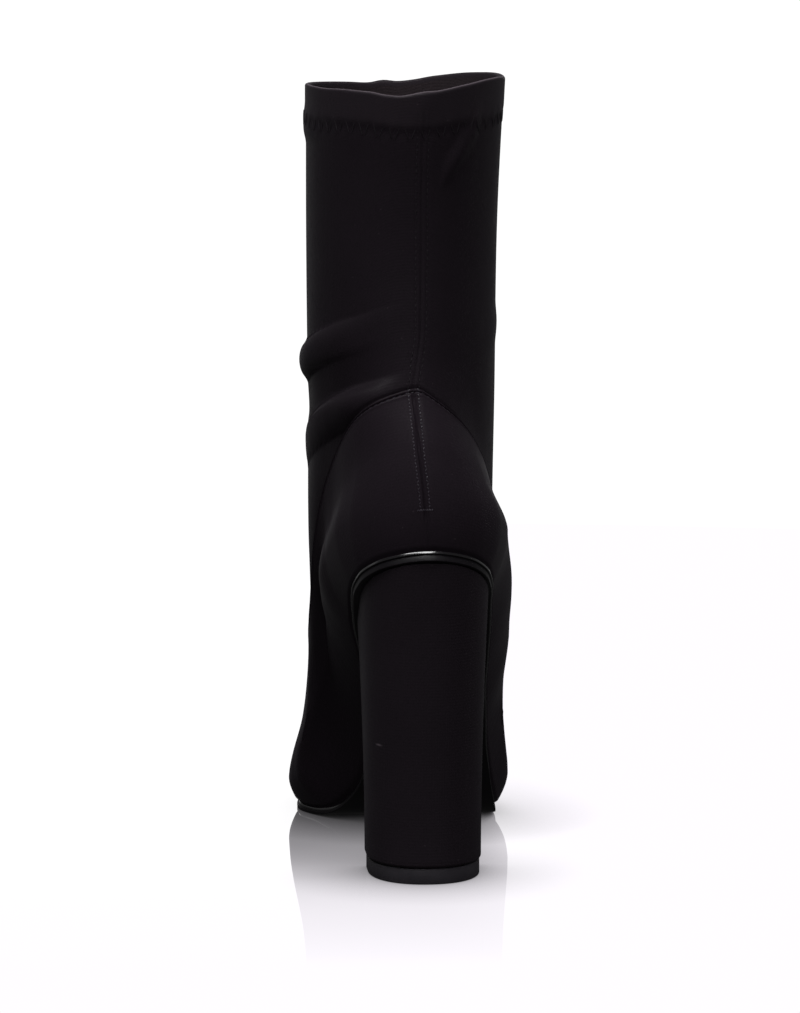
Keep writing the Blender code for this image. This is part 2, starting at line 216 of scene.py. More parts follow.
acrylic, tree = new_material("white_acrylic_sheet")
across, along, _ = add(tree, "ShaderNodeSeparateXYZ", {
    0: add(tree, "ShaderNodeTexCoord").outputs["Object"]}).outputs
share = add(tree, "ShaderNodeMapRange", {
    "Value": along, "From Min": POLISH_RANGE[0], "From Max": POLISH_RANGE[1]}).outputs[0]
fade = add(tree, "ShaderNodeFloatCurve", {"Value": share})
curve = fade.mapping.curves[0]
for y, amount in POLISH:
    curve.points.new((y - POLISH_RANGE[0]) / (POLISH_RANGE[1] - POLISH_RANGE[0]), amount)
curve.points[0].location = (0.0, 0.0)
curve.points[len(curve.points) - 1].location = (1.0, POLISH[-1][1])
fade.mapping.update()
fresnel = add(tree, "ShaderNodeFresnel", {"IOR": ACRYLIC_IOR}).outputs[0]
grazing = add(tree, "ShaderNodeMath", {0: fresnel, 1: GRAZING}, operation="MULTIPLY", use_clamp=True)
duller = add(tree, "ShaderNodeMapRange", {
    "Value": across, "From Min": POLISH_ACROSS[0], "From Max": POLISH_ACROSS[1],
    "To Min": 1.0, "To Max": 0.0}, interpolation_type="SMOOTHSTEP").outputs[0]
polish = add(tree, "ShaderNodeMath", {0: fade.outputs[0], 1: duller}, operation="MULTIPLY")
mirror = add(tree, "ShaderNodeMath", {0: grazing.outputs[0], 1: polish.outputs[0]}, operation="MULTIPLY")
open_sky = add(tree, "ShaderNodeAmbientOcclusion", {"Distance": CONTACT}, samples=12).outputs["AO"]
glow = add(tree, "ShaderNodeEmission", {"Color": TABLE_WHITE, "Strength": open_sky})
shine = add(tree, "ShaderNodeBsdfGlossy", {"Color": (1.0, 1.0, 1.0, 1.0), "Roughness": 0.0})
seen = add(tree, "ShaderNodeMixShader", {0: mirror.outputs[0], 1: glow.outputs[0], 2: shine.outputs[0]})
lit = add(tree, "ShaderNodeMapRange", {
    "Value": along, "From Min": TABLE_FAR[0], "From Max": TABLE_FAR[1],
    "To Min": TABLE_DIM[0], "To Max": TABLE_DIM[1]}).outputs[0]
dim = add(tree, "ShaderNodeEmission", {"Strength": lit})
eye = add(tree, "ShaderNodeLightPath").outputs["Is Camera Ray"]
both = add(tree, "ShaderNodeMixShader", {0: eye, 1: dim.outputs[0], 2: seen.outputs[0]})
add(tree, "ShaderNodeOutputMaterial", {"Surface": both.outputs[0]})
mesh.materials.append(acrylic)
print("table of", TABLE_RADIUS, "m, mirror curve of", len(curve.points), "points")

# %% [markdown]
# ## The last
# A shoe is built on a last, a solid foot form. Its side view, its bottom outline and a few rings
# round the leg are enough to shape the whole upper. The solids were made from these tables with
# few columns, and here they are read as finely as cloth needs. A copy of the solid could be
# subdivided instead, but its facets would still show through the cloth.

# %% Tables of the last
SOLE_PROFILE = [
    # along y, height z of the upper's lower edge
    (-34.0, 124.2), (-24.0, 118.9), (-14.0, 113.5), (-4.0, 108.0), (6.0, 102.1),
    (16.0, 95.2), (26.0, 87.0), (40.0, 73.7), (58.0, 55.3), (74.0, 38.0),
    (86.0, 23.6), (97.0, 11.7), (108.0, 4.4), (118.0, 2.8), (148.0, 2.8),
    (162.0, 4.2), (176.0, 6.6), (186.0, 9.0), (196.0, 11.6),
]
FOOT = [
    # along y, lateral x, medial x, flare lateral, flare medial, rise of the side wall
    (-24.0, 0.0, 0.0, 2.6, 2.6, 17.0),
    (-16.0, 16.4, -17.2, 3.2, 2.8, 17.5),
    (-6.0, 21.2, -22.4, 4.5, 4.1, 18.5),
    (6.0, 23.0, -24.0, 5.6, 6.1, 20.0),
    (24.0, 24.0, -22.4, 7.0, 9.0, 21.0),
    (40.0, 24.6, -18.8, 8.6, 11.4, 21.5),
    (58.0, 25.2, -15.4, 9.0, 12.6, 22.0),
    (74.0, 27.0, -13.9, 7.0, 13.0, 21.5),
    (88.0, 29.8, -15.0, 5.0, 12.2, 18.6),
    (100.0, 32.6, -20.8, 4.6, 10.0, 14.0),
    (112.0, 34.2, -29.6, 4.6, 6.6, 11.4),
    (126.0, 33.2, -36.4, 4.2, 3.4, 9.4),
    (142.0, 29.0, -35.6, 3.6, 2.6, 8.6),
    (156.0, 22.2, -31.1, 3.0, 2.6, 8.6),
    (168.0, 13.8, -25.0, 2.8, 2.8, 8.8),
    (178.0, 3.8, -17.9, 2.4, 2.4, 9.0),
    (186.0, -8.0, -8.0, 1.4, 1.4, 9.4),
]
LEG_RINGS = [
    # back y, back z, front y, front z, widest y, lateral, medial, mid back, mid front,
    # round back, round front, dip lateral, dip medial, dip at, fall lateral, fall medial
    (-17.0, 175.0, 127.0, 68.0, 42.0, 32.0, 32.0, -4.4, -5.4,      # panel line
     2.2, 2.3, 36.0, 30.0, 0.62, 9.0, 3.4),
    (-12.5, 208.0, 79.5, 145.0, 31.0, 32.6, 33.6, -5.6, -5.4,      # ankle
     2.1, 2.1, 10.0, 10.0, 0.60, 0.0, 0.0),
    (-13.0, 244.0, 71.0, 224.0, 29.0, 33.4, 34.2, -5.6, -5.6,      # shaft
     2.1, 2.1, 2.0, 2.0, 0.50, 0.0, 0.0),
    (-16.0, 276.2, 70.0, 276.4, 27.0, 34.6, 35.0, -4.4, -5.2,      # collar
     2.1, 2.1, -3.8, -1.0, 0.50, 0.0, 0.0),
]
POINT_ROUND, POINT_SPREAD, POINT_FADE = 0.06, 0.3, 0.7   # the fall beside a ring's point at the back
VAMP_BACK, VAMP_FRONT = (-2.6, -0.5), (2.0, -5.6)    # the vamp ring's shift along y and up
VAMP_FULL = (-0.8, -1.4)                             # and outwards, lateral and medial
VAMP_ENDS = 3                                        # a higher power keeps the shifts nearer the ends
OUTSOLE_THINS = (60.0, 110.0)                        # where along y the outsole grows thinner
OUTLINE_SAMPLES = 1441
PANEL, COLLAR = 3.0, 6.0                             # levels of the panel's line and of the collar
print("last:", len(SOLE_PROFILE), "side points,", len(FOOT), "stations,", len(LEG_RINGS), "rings")

# %% [markdown]
# ## Smooth curves
# A spline through the rows of a table may swing past them and dent the last. This one never does:
# its slope at each row is a mean of its two neighbours' slopes, and zero where they differ in sign.

# %% Curves through a table
def through(rows, column, at):
    """A smooth curve through one column of a table, with no overshoot between its rows."""
    x, v = (np.array([row[k] for row in rows]) for k in (0, column))
    steps = np.diff(x)
    slopes = np.diff(v) / steps
    before, after = slopes[:-1], slopes[1:]
    near, far = 2 * steps[1:] + steps[:-1], steps[1:] + 2 * steps[:-1]
    same_way = before * after > 0
    safe_before, safe_after = np.where(same_way, before, 1.0), np.where(same_way, after, 1.0)
    middle = np.where(same_way, (near + far) / (near / safe_before + far / safe_after), 0.0)
    tangents = np.concatenate([slopes[:1], middle, slopes[-1:]])
    i = np.clip(np.searchsorted(x, at) - 1, 0, len(slopes) - 1)
    u = (at - x[i]) / steps[i]
    low = v[i] * (1 + 2 * u) * (1 - u) ** 2 + tangents[i] * steps[i] * u * (1 - u) ** 2
    return low + v[i + 1] * u * u * (3 - 2 * u) - tangents[i + 1] * steps[i] * u * u * (1 - u)


def smooth(value, start=0.0, end=1.0):
    """A soft step from 0 at the start to 1 at the end."""
    t = np.clip((value - start) / (end - start), 0.0, 1.0)
    return t * t * (3 - 2 * t)


def bell(value, width):
    """A soft hump of height 1 at zero."""
    return np.exp(-(value / width) ** 2)


def humps(value, rows):
    """A section made of soft humps and dents, each with its place, height and width."""
    return sum(height * bell(value - at, width) for at, height, width in rows)


def at_ball(y):
    """0 up to the waist of the sole and 1 from the ball on."""
    return smooth(y, *OUTSOLE_THINS)


print("the upper's edge at heel and ball:", through(SOLE_PROFILE, 1, np.array([0.0, 130.0])).round(1))

# %% [markdown]
# ## Sole and bottom outline
# The sole is drawn twice, as a maker does: its side view gives the height, and its outline from
# above the width. Rand, outsole and insole are that outline, grown or shrunk and set lower or
# higher, so one function lays it on the side view.

# %% Sole and bottom outline
def sole_point(y, depth):
    """Where a point of the sole's side view lies, this far under the upper's edge, square to it."""
    small = 0.05
    rise = through(SOLE_PROFILE, 1, y + small) - through(SOLE_PROFILE, 1, y - small)
    slope = rise / (2 * small)
    lean = np.hypot(1.0, slope)
    return y + depth * slope / lean, through(SOLE_PROFILE, 1, y) - depth / lean


def foot_outline(angles, grow=0.0):
    """The last's bottom outline from above, x and y at each angle, grown sideways."""
    heel, toe = FOOT[0][0], FOOT[-1][0]
    squares = [(row[0], (row[1] + row[2]) / 2, ((row[1] - row[2]) / 2) ** 2) for row in FOOT]
    fine = np.linspace(0.0, math.pi, OUTLINE_SAMPLES)
    along = heel + (toe - heel) * (1 - np.cos(fine)) / 2
    middle = through(squares, 1, along)
    half = np.sqrt(np.maximum(0.0, through(squares, 2, along)))
    stations = heel - grow + (toe - heel + 2 * grow) * (1 - np.cos(angles)) / 2
    sides = []
    for side in (1, -1):
        x = middle + side * half
        step_x, step_y = np.gradient(x, fine), np.gradient(along, fine)
        step_x[[0, -1]], step_y[[0, -1]] = (side, -side), 0.0
        length = np.hypot(step_x, step_y)
        grown_x, grown_y = x + side * grow * step_y / length, along - side * grow * step_x / length
        sides.append(np.interp(stations, grown_y, grown_x))
    return np.where(np.sin(angles) >= 0, *sides), stations


def edge_ring(angles, grow, depth, thinned=0.0):
    """The bottom outline laid on the sole's side view, grown sideways and set below the edge.

    From the waist to the ball the depth grows less by the amount thinned.
    """
    x, y = foot_outline(angles, grow)
    return np.column_stack([x, *sole_point(y, depth - thinned * at_ball(y))])


print("bottom outline:", np.ptp(foot_outline(np.linspace(0.0, math.pi * 2, 181)), axis=1).round(1), "mm")

# %% [markdown]
# ## The upper's surface
# Seven rings shape the upper: its lower edge, the side wall's widest line, the vamp, the lower
# panel's top line, ankle, shaft and collar. Smooth curves through them give a point for any level
# (0 at the lower edge, 3 at the panel's line, 6 at the collar) and any angle (0 at the back, a
# quarter turn on the lateral side, a half at the front). All pieces of cloth are read from it.

# %% Rings of the upper
def side_wall_ring(angles):
    """The widest line of the side wall, above the lower edge."""
    (x, y), (x_out, y_out) = foot_outline(angles), foot_outline(angles, 1.0)
    lateral = (1 + np.sin(angles)) / 2
    flare = lateral * through(FOOT, 3, y) + (1 - lateral) * through(FOOT, 4, y)
    height = through(SOLE_PROFILE, 1, y) + through(FOOT, 5, y)
    return np.column_stack([x + flare * (x_out - x), y + flare * (y_out - y), height])


def rounded(value, roundness):
    """A sine or cosine bent to a superellipse, with its sign kept."""
    return np.copysign(np.abs(value) ** (2 / roundness), value)


def tilted_ring(row, angles):
    """A closed loop from the back of the leg to the instep."""
    (back_y, back_z, front_y, front_z, widest_y, lateral, medial,
     mid_back, mid_front, round_back, round_front,
     dip_lateral, dip_medial, dip_at, fall_lateral, fall_medial) = row
    sine, cosine = np.sin(angles), np.cos(angles)
    at_back = cosine > 0
    roundness = np.where(at_back, round_back, round_front)
    reach = np.where(at_back, widest_y - back_y, front_y - widest_y)
    along = widest_y - reach * rounded(cosine, roundness)
    share = np.clip((along - back_y) / (front_y - back_y), 0.0, 1.0)
    dip = np.where(sine > 0, dip_lateral, dip_medial)
    lowered = dip * np.sin(math.pi * share ** (math.log(0.5) / math.log(dip_at)))
    beside = (np.hypot(sine, POINT_ROUND) - POINT_ROUND) / POINT_SPREAD
    fall = np.where(sine > 0, fall_lateral, fall_medial)
    lowered = lowered + fall * (1 - np.exp(-beside)) * ((1 + cosine) / 2) ** POINT_FADE
    middle = mid_back + share * (mid_front - mid_back)
    half = np.where(sine > 0, lateral, medial)
    height = back_z + share * (front_z - back_z) - lowered
    return np.column_stack([middle + half * rounded(sine, roundness), along, height])


def upper_rings(angles):
    """The seven rings that shape the upper, from its lower edge to the collar."""
    side_wall = side_wall_ring(angles)
    panel, *leg = [tilted_ring(row, angles) for row in LEG_RINGS]
    back, front = (((1 + way * np.cos(angles)) / 2) ** VAMP_ENDS for way in (1, -1))
    moved = [np.where(np.sin(angles) > 0, *VAMP_FULL) * np.sin(angles)]
    moved += [back * VAMP_BACK[k] + front * VAMP_FRONT[k] for k in range(2)]
    vamp = (side_wall + panel) / 2 + np.column_stack(moved)
    return np.array([edge_ring(angles, 0.0, 0.0), side_wall, vamp, panel, *leg])


collar_ring = upper_rings(np.linspace(0.0, 2 * math.pi, 73))[-1]
print("collar:", np.ptp(collar_ring, axis=0)[:2].round(1), "mm across and along")

# %% Points of the upper
def on_upper(levels, angles):
    """Points of the upper: a row of levels for each row of points, a column for each angle."""
    rings = upper_rings(angles)
    spans = np.linalg.norm(np.diff(rings, axis=0), axis=2)[:, :, None]
    slopes = np.diff(rings, axis=0) / spans
    inner = (slopes[:-1] * spans[1:] + slopes[1:] * spans[:-1]) / (spans[1:] + spans[:-1])
    inner[0] = (rings[2] - rings[0]) / (spans[0] + spans[1])     # upright at the widest line
    tangents = np.concatenate([2 * slopes[:1] - inner[:1], inner, slopes[-1:]])
    i = np.clip(levels.astype(int), 0, len(spans) - 1)
    column = np.arange(len(angles))
    u, span = (levels - i)[:, :, None], spans[i, column]
    return (
        rings[i, column] * ((1 + 2 * u) * (1 - u) ** 2) + rings[i + 1, column] * (u * u * (3 - 2 * u))
        + span * (tangents[i, column] * (u * (1 - u) ** 2) - tangents[i + 1, column] * (u * u * (1 - u)))
    )


def frame_on_upper(levels, angles):
    """Points, outward normals, and millimetres per level and per radian, all over a grid."""
    small = 0.01
    up = (on_upper(levels + small, angles) - on_upper(levels - small, angles)) / (2 * small)
    side = (on_upper(levels, angles + small) - on_upper(levels, angles - small)) / (2 * small)
    normal = np.cross(side, up)
    normal /= np.linalg.norm(normal, axis=2)[:, :, None]
    return on_upper(levels, angles), normal, np.linalg.norm(up, axis=2), np.linalg.norm(side, axis=2)


back_line = on_upper(np.linspace(0.0, COLLAR, 61)[:, None], np.zeros(1))[:, 0]
print("back line, foot to collar:", back_line[[0, 30, 60]].round(1).tolist())

# %% [markdown]
# ## Grids become meshes
# Every main piece is a grid of points: rows that run round the piece, stacked one on the other.
# One function turns such a grid into a mesh. A wall with two faces closes its last row on its
# first, and a solid piece is capped by strips between its two sides. Cloth needs to know its own
# directions, so the function also writes a UV map in metres: round the piece, and along it.

# %% Grid to mesh
# the second name is an attribute: how far the cloth turns to its light tone, for wear and for a painted
# highlight on the collar's folded edge
CLOTH_MAP, WEAR_AND_HIGHLIGHT_ATTRIBUTE = "cloth", "wear_and_highlight"
SMOOTH_ANGLE = math.radians(38)
LEG_GIRTH = 0.24           # metres round the shaft


def skin(name, points, material, closed=False, girth=LEG_GIRTH, wear_and_highlight=None):
    """A piece over rows of points in millimetres, closed round each row, as a wall or capped.

    Girth is the length of a row in metres, for the cloth's map. The last argument says, point by point,
    how far the cloth turns to its light tone: wear, and a painted highlight on the collar's folded edge.
    """
    rows, columns = points.shape[:2]
    here = np.arange(rows * columns).reshape(rows, columns)
    low, high = (here, np.roll(here, -1, axis=0)) if closed else (here[:-1], here[1:])
    quads = np.stack([low, np.roll(low, -1, 1), np.roll(high, -1, 1), high], axis=-1).reshape(-1, 4)
    faces = quads.tolist()
    if not closed:
        for row, flip in ((here[0], True), (here[-1], False)):
            for k in range(columns // 2):
                strip = [row[k], row[k + 1], row[(columns - k - 1) % columns], row[(columns - k) % columns]]
                corners = [int(v) for v in dict.fromkeys(strip)]
                faces.append(corners[::-1] if flip else corners)
    mesh = bpy.data.meshes.new(name)
    mesh.from_pydata((points.reshape(-1, 3) * MM).tolist(), [], faces)

    steps = np.linalg.norm(np.diff(points, axis=0), axis=2) * MM
    along = np.concatenate([np.zeros((1, columns)), np.cumsum(steps, axis=0)])
    around = np.arange(columns + 1) / columns * girth
    k = np.tile(np.arange(columns), len(low))
    corner_u = np.stack([around[k], around[k + 1], around[k + 1], around[k]], axis=-1)
    corner_v = along.reshape(-1)[quads]
    flat = points.reshape(-1, 3)[[v for face in faces[len(quads):] for v in face]][:, :2] * MM
    places = np.concatenate([np.stack([corner_u, corner_v], axis=-1).reshape(-1, 2), flat.reshape(-1, 2)])
    layer = mesh.uv_layers.new(name=CLOTH_MAP)
    layer.uv.foreach_set("vector", places.astype(np.float32).ravel())
    if wear_and_highlight is not None:
        mesh.attributes.new(WEAR_AND_HIGHLIGHT_ATTRIBUTE, "FLOAT", "POINT").data.foreach_set("value", wear_and_highlight.ravel())
    mesh.shade_smooth()
    mesh.set_sharp_from_angle(angle=SMOOTH_ANGLE)
    mesh.materials.append(material)
    piece = bpy.data.objects.new(name, mesh)
    bpy.context.scene.collection.objects.link(piece)
    return piece


def wear(piece, slot, *nodes):
    """Hangs a finished piece on the boot, in place of these solids."""
    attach(piece, "root")
    if nodes:
        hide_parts(*nodes)
    mesh = piece.data
    mesh.calc_loop_triangles()
    print(f"{piece.name}: {len(mesh.loop_triangles)} triangles, stands for {nodes}")
    return piece


print("faces are shaded smooth up to", round(math.degrees(SMOOTH_ANGLE)), "degrees")

# %% [markdown]
# ## Black stretch knit
# The sock is a bonded knit of polyester and elastane with a brushed, slightly satin face. It
# gives the eye a deep, faintly violet black, a broad dim highlight, and from near by a fine
# grain of knitted wales. The wales are 0.6 mm apart on the real cloth, and are drawn at 0.9 mm
# so that the picture can hold them. The covered heel wears the same cloth stretched tighter, and
# the lower panel has it glued on a stiffener, so one function makes all three.

# %% Cloth sizes
WAVE_LENGTH = math.pi / 10       # one band of a wave texture at scale 1
WALE = 0.9 * MM                  # between ribs of the knit, as drawn
COURSE = 1.1 * MM                # between rows of loops
WANDER = 0.6                     # how far ribs and rows stray from straight
GRAIN = 0.35 * MM                # brushed fibre ends
FIBRES = 0.8                     # their share of the relief, beside the loops
CLOUD = 38.0 * MM                # slow changes where the cloth was handled
CLOUDS = 0.5                     # their share of the tone, beside the fibres
TONES_AT = (0.5, 1.0)            # where the dark and the light tone are full
NOISE_RANGE = (0.3, 0.7)         # holds most values of a noise texture
GLOSS_VARIES = 0.05              # more or less roughness
LINT_APART = 6.0 * MM            # between specks of lint
LINT_SIZE = 0.28 * MM
LINT_SHOWS = 0.15                # as a share of the light tone
WEAR_AND_HIGHLIGHT_TONE = "#5a5258"            # the light tone: lint and wear, and a painted highlight where the collar's folded edge faces the light
SHEEN, SHEEN_ROUGHNESS, SHEEN_TINT = 0.02, 0.45, "#b8b0c0"
HEEL_SCUFF = ((-16.9, -10.6, 48.6), (1.5, 4.0, 0.50))    # its centre and half sizes, millimetres
CLOTHS = [
    # name, dark, light, roughness, specular level, depth of the relief in millimetres, scuff
    ("bonded_stretch_knit", "#171317", "#1d181d", 0.50, 0.08, 0.045, None),     # a broad dim sheen
    ("stiffened_stretch_knit", "#1c171c", "#241e24", 0.46, 0.11, 0.03, None),   # smoother and paler
    ("stretch_knit_over_heel", "#1a161a", "#211c21", 0.56, 0.08, 0.045, HEEL_SCUFF),   # drawn dull
    ("brushed_tricot_lining", "#241e21", "#302a2d", 0.75, 0.10, 0.08, None),    # soft and matt
]
print("ribs every", round(WALE / MM, 2), "mm,", len(CLOTHS), "cloths")

# %% Cloth materials
def knit(name, dark, light, roughness, specular, depth, scuff):
    """A black knit: two tones, its gloss, the depth of its relief and perhaps one scuff."""
    material, tree = new_material(name)
    place = add(tree, "ShaderNodeTexCoord").outputs
    wales, courses = (
        add(tree, "ShaderNodeTexWave", {
            "Vector": place["UV"], "Scale": WAVE_LENGTH / apart, "Distortion": WANDER, "Detail": 1.0},
            bands_direction=way).outputs["Fac"]
        for way, apart in (("X", WALE), ("Y", COURSE)))
    grain, cloud = (
        add(tree, "ShaderNodeTexNoise", {
            "Vector": place["Object"], "Scale": 1 / size, "Detail": detail}).outputs["Fac"]
        for size, detail in ((GRAIN, 2.0), (CLOUD, 3.0)))
    loops = add(tree, "ShaderNodeMath", {0: wales, 1: courses}, operation="MULTIPLY")
    pile = add(tree, "ShaderNodeMath", {0: grain, 1: FIBRES, 2: loops.outputs[0]}, operation="MULTIPLY_ADD")
    bump = add(tree, "ShaderNodeBump", {
        "Height": pile.outputs[0], "Strength": 1.0, "Distance": depth * MM})
    tone = add(tree, "ShaderNodeMath", {0: cloud, 1: CLOUDS, 2: grain}, operation="MULTIPLY_ADD")
    colour = add(tree, "ShaderNodeValToRGB", {"Fac": tone.outputs[0]})
    for element, at, hue in zip(colour.color_ramp.elements, TONES_AT, (dark, light)):
        element.position, element.color = at, linear(hue)
    if scuff:
        centre, half = ([length * MM for length in row] for row in scuff)
        mark = add(tree, "ShaderNodeMapping", {
            "Vector": place["Object"], "Location": centre, "Scale": half}, vector_type="TEXTURE")
        wear_and_highlight = add(tree, "ShaderNodeTexGradient", {"Vector": mark.outputs[0]}, gradient_type="SPHERICAL")
    else:
        wear_and_highlight = add(tree, "ShaderNodeAttribute", attribute_name=WEAR_AND_HIGHLIGHT_ATTRIBUTE)
    lint = add(tree, "ShaderNodeTexVoronoi", {"Vector": place["Object"], "Scale": 1 / LINT_APART})
    speck = add(tree, "ShaderNodeMath", {
        0: lint.outputs["Distance"], 1: LINT_SIZE / LINT_APART}, operation="LESS_THAN")
    lighter = add(tree, "ShaderNodeMath", {
        0: speck.outputs[0], 1: LINT_SHOWS, 2: wear_and_highlight.outputs["Fac"]},
        operation="MULTIPLY_ADD", use_clamp=True)
    # lint, a scuff and wear lighten the cloth, and so does a painted highlight on the collar's folded edge
    lightened = add(tree, "ShaderNodeMix", {
        "Factor": lighter.outputs[0], 6: colour.outputs["Color"], 7: linear(WEAR_AND_HIGHLIGHT_TONE)}, data_type="RGBA")
    gloss = add(tree, "ShaderNodeMapRange", {
        "Value": cloud, "From Min": NOISE_RANGE[0], "From Max": NOISE_RANGE[1],
        "To Min": roughness - GLOSS_VARIES, "To Max": roughness + GLOSS_VARIES})
    shader = add(tree, "ShaderNodeBsdfPrincipled", {
        "Base Color": lightened.outputs[2], "Roughness": gloss.outputs[0],
        "Normal": bump.outputs[0], "Specular IOR Level": specular,
        "Sheen Weight": SHEEN, "Sheen Roughness": SHEEN_ROUGHNESS, "Sheen Tint": linear(SHEEN_TINT)})
    add(tree, "ShaderNodeOutputMaterial", {"Surface": shader.outputs[0]})
    return material


sock_cloth, panel_cloth, heel_cloth, hem_lining = [knit(*row) for row in CLOTHS]
print("cloths:", [m.name for m in (sock_cloth, panel_cloth, heel_cloth, hem_lining)])

# %% [markdown]
# ## Seams and folds
# Stretch cloth that stands empty slumps a little at the ankle, so two soft folds run up from the
# inner side of the leg to the back seam, with a shadowed trough between them. A cloth simulation
# would find folds of its own, so these are given one by one: each has a crest, as angles and heights
# on the leg, and a section that may reach further below it than above. A low softness gives the
# crisp brow of a tight fold, a high one a gentle swell. The back seam wanders a little from the
# middle, as the sewn tube twists.

# %% Back seam and folds
SEAM_PATH = [
    # height, angle in degrees
    (100.0, -1.0), (119.0, -1.0), (134.0, -2.5), (147.0, -2.5), (161.0, -2.0), (174.0, -1.4),
    (181.0, 0.5), (195.0, 4.4), (226.0, 5.8), (261.0, 5.0), (285.0, 5.0),
]
SHAFT_SEAM = (2.0, 0.26)   # from the seam to each of its two rows of stitches, depth of its groove
COUNTER_SEAM = (1.55, 0.70)
SEAM_SECTION = [
    # share of the way to the stitches, height as a share of the groove, width
    (0.0, -1.0, 0.40),     # the groove
    (0.5, 0.29, 0.45),     # a soft welt beside it
    (1.0, -0.23, 0.38),    # the stitches hold the cloth down
    (1.8, 0.09, 0.70),     # and it rises again beyond them
]
FOLDS = [
    # proud, reach above, reach below, softness, crest of (angle in degrees, height, share)
    (3.0, 6.5, 6.6, 0.6, [     # nose of the upper fold
        (-150, 174, 0.0), (-110, 178, 0.8), (-85, 181.4, 1.0), (-62, 186.8, 0.75),
        (-46, 190.3, 0.36), (-31, 193.2, 0.08), (-20, 195.5, 0.0)]),
    (3.0, 6.5, 17.0, 0.8, [    # its broad band towards the seam
        (-90, 180.5, 0.0), (-62, 186.8, 0.22), (-46, 190.3, 0.38), (-31, 193.2, 0.24),
        (-23, 195, 0.17), (-11, 197.3, 0.08), (0, 199, 0.0)]),
    (-0.9, 12.0, 4.5, 1.5, [   # the trough
        (-120, 160, 0.0), (-80, 164, 0.8), (-54, 171.5, 1.0), (-38, 176, 1.0),
        (-20, 180, 0.5), (-6, 183, 0.0)]),
    (3.0, 4.4, 9.5, 0.7, [     # the lower fold
        (-130, 147, 0.0), (-95, 151.5, 0.3), (-85, 155, 0.42), (-54, 165.6, 0.85),
        (-38, 170, 1.0), (-22, 173.2, 0.5), (-10, 175.5, 0.05), (-4, 177, 0.0)]),
    (1.8, 5.5, 8.0, 1.0, [     # where it leans on the lower panel
        (-70, 160, 0.0), (-54, 164.5, 0.3), (-36, 168, 1.0), (-24, 170.6, 1.0),
        (-14, 172.8, 0.45), (-6, 175, 0.0)]),
    (1.2, 7.0, 7.0, 2.0, [     # a slanting pull below the hem
        (16, 248, 0.0), (21, 251, 0.7), (29, 257, 1.0), (37, 262.5, 0.8), (44, 267, 0.0)]),
    (0.9, 9.0, 6.0, 2.0, [     # a swell at the hem's medial side
        (-130, 263, 0.0), (-92, 263, 1.0), (-62, 263, 0.0)]),
    (0.5, 8.0, 8.0, 2.0, [     # and at the ankle's lateral side
        (55, 192, 0.0), (85, 194, 1.0), (120, 196, 0.0)]),
]


def seam_angle(height):
    """Where the back seam lies at this height."""
    return np.radians(through(SEAM_PATH, 1, height))


def signed(angles):
    """Angles from the back in degrees, negative on the medial side."""
    return np.degrees((angles + math.pi) % (2 * math.pi) - math.pi)


def from_seam(points, angles, per_turn):
    """Millimetres round the leg from the back seam, all over a grid of points."""
    return (np.radians(signed(angles)) - seam_angle(points[:, :, 2])) * per_turn


def folds(points, angles):
    """How far the folds stand out of the sock, all over a grid of its points."""
    turn = np.broadcast_to(signed(angles), points.shape[:2])
    total = np.zeros(points.shape[:2])
    for proud, above, below, softness, crest in FOLDS:
        at = np.clip(turn, crest[0][0], crest[-1][0])
        away = points[:, :, 2] - through(crest, 1, at)
        reached = away / np.where(away > 0, above, below)
        section = np.clip(1 - reached ** 2, 0.0, 1.0) ** softness
        total += proud * np.clip(through(crest, 2, at), 0.0, 1.0) * section
    return total


def seam_relief(away, seam):
    """The sewn back seam: a groove between two soft welts that its twin rows hold down."""
    rows_at, groove = seam
    return groove * humps(np.abs(away), [(share * rows_at, *rest) for share, *rest in SEAM_SECTION])


print("folds:", len(FOLDS), "seam at the panel line:", round(float(np.degrees(seam_angle(175.0))), 1))

# %% [markdown]
# ## The sock
# One tube of cloth: up the outside, over the turned hem, down the inside of the hem, and on as the
# back of the cloth behind the lining. It could be sculpted, but a grid that is read from the last
# keeps the boot's form everywhere, and folds, seam and hem are heights added to it. Columns crowd
# together at the back, where the seam is. The hem is two layers thick, so it stands a little proud
# above its zigzag stitches, which draw it in. The collar's edge rises and falls, with a bulky spot
# where each seam is folded over.

# %% Hem, collar and panel lines
COLUMNS = 248
BACK_FOCUS = 0.55          # how much the columns crowd at the back, below 1
HEM_LINE = [
    # angle in degrees, from the collar's edge down to the middle of the zigzag
    (-180, 12.5), (-84, 11.6), (-45, 11.2), (-18, 11.4), (0, 12.3), (6, 12.6), (25, 12.2),
    (50, 12.8), (78, 11.8), (180, 12.5),
]
RIM_LIFT = [
    # angle in degrees, how far the collar's edge lies above its plain ring
    (-180, -0.9), (-167, -1.2), (-150, -0.7), (-120, -0.2), (-84, 0.3), (-60, 0.5), (-42, 1.0),
    (-26, 0.8), (-16, -0.1), (-9, -0.4), (0, 0.1), (8, 0.5), (17, 1.5), (27, 2.2), (44, 2.6),
    (62, 1.9), (83, 0.2), (100, 0.5), (119, 1.0), (138, 1.4), (157, 0.9), (170, -0.2), (180, -0.9),
]
SEAM_BULK = [
    # angle, width in degrees, outwards, upwards
    (5.2, 7.0, 0.7, 0.5),
    (187.0, 6.0, 0.5, 0.6),
]
PANEL_DROP = [
    # angle in degrees, how far the lower panel's edge lies below its plain ring
    (-180, 0.0), (-140, 3.0), (-120, 7.0), (-100, 7.5), (-80, 4.0), (-50, 0.5), (-30, 0.0), (18, 0.0),
    (36, 1.5), (55, 3.8), (75, 3.8), (100, 1.5), (130, 0.0), (180, 0.0),
]
turns = np.linspace(0.0, 2 * math.pi, COLUMNS, endpoint=False)
angles = turns - BACK_FOCUS * np.sin(turns)


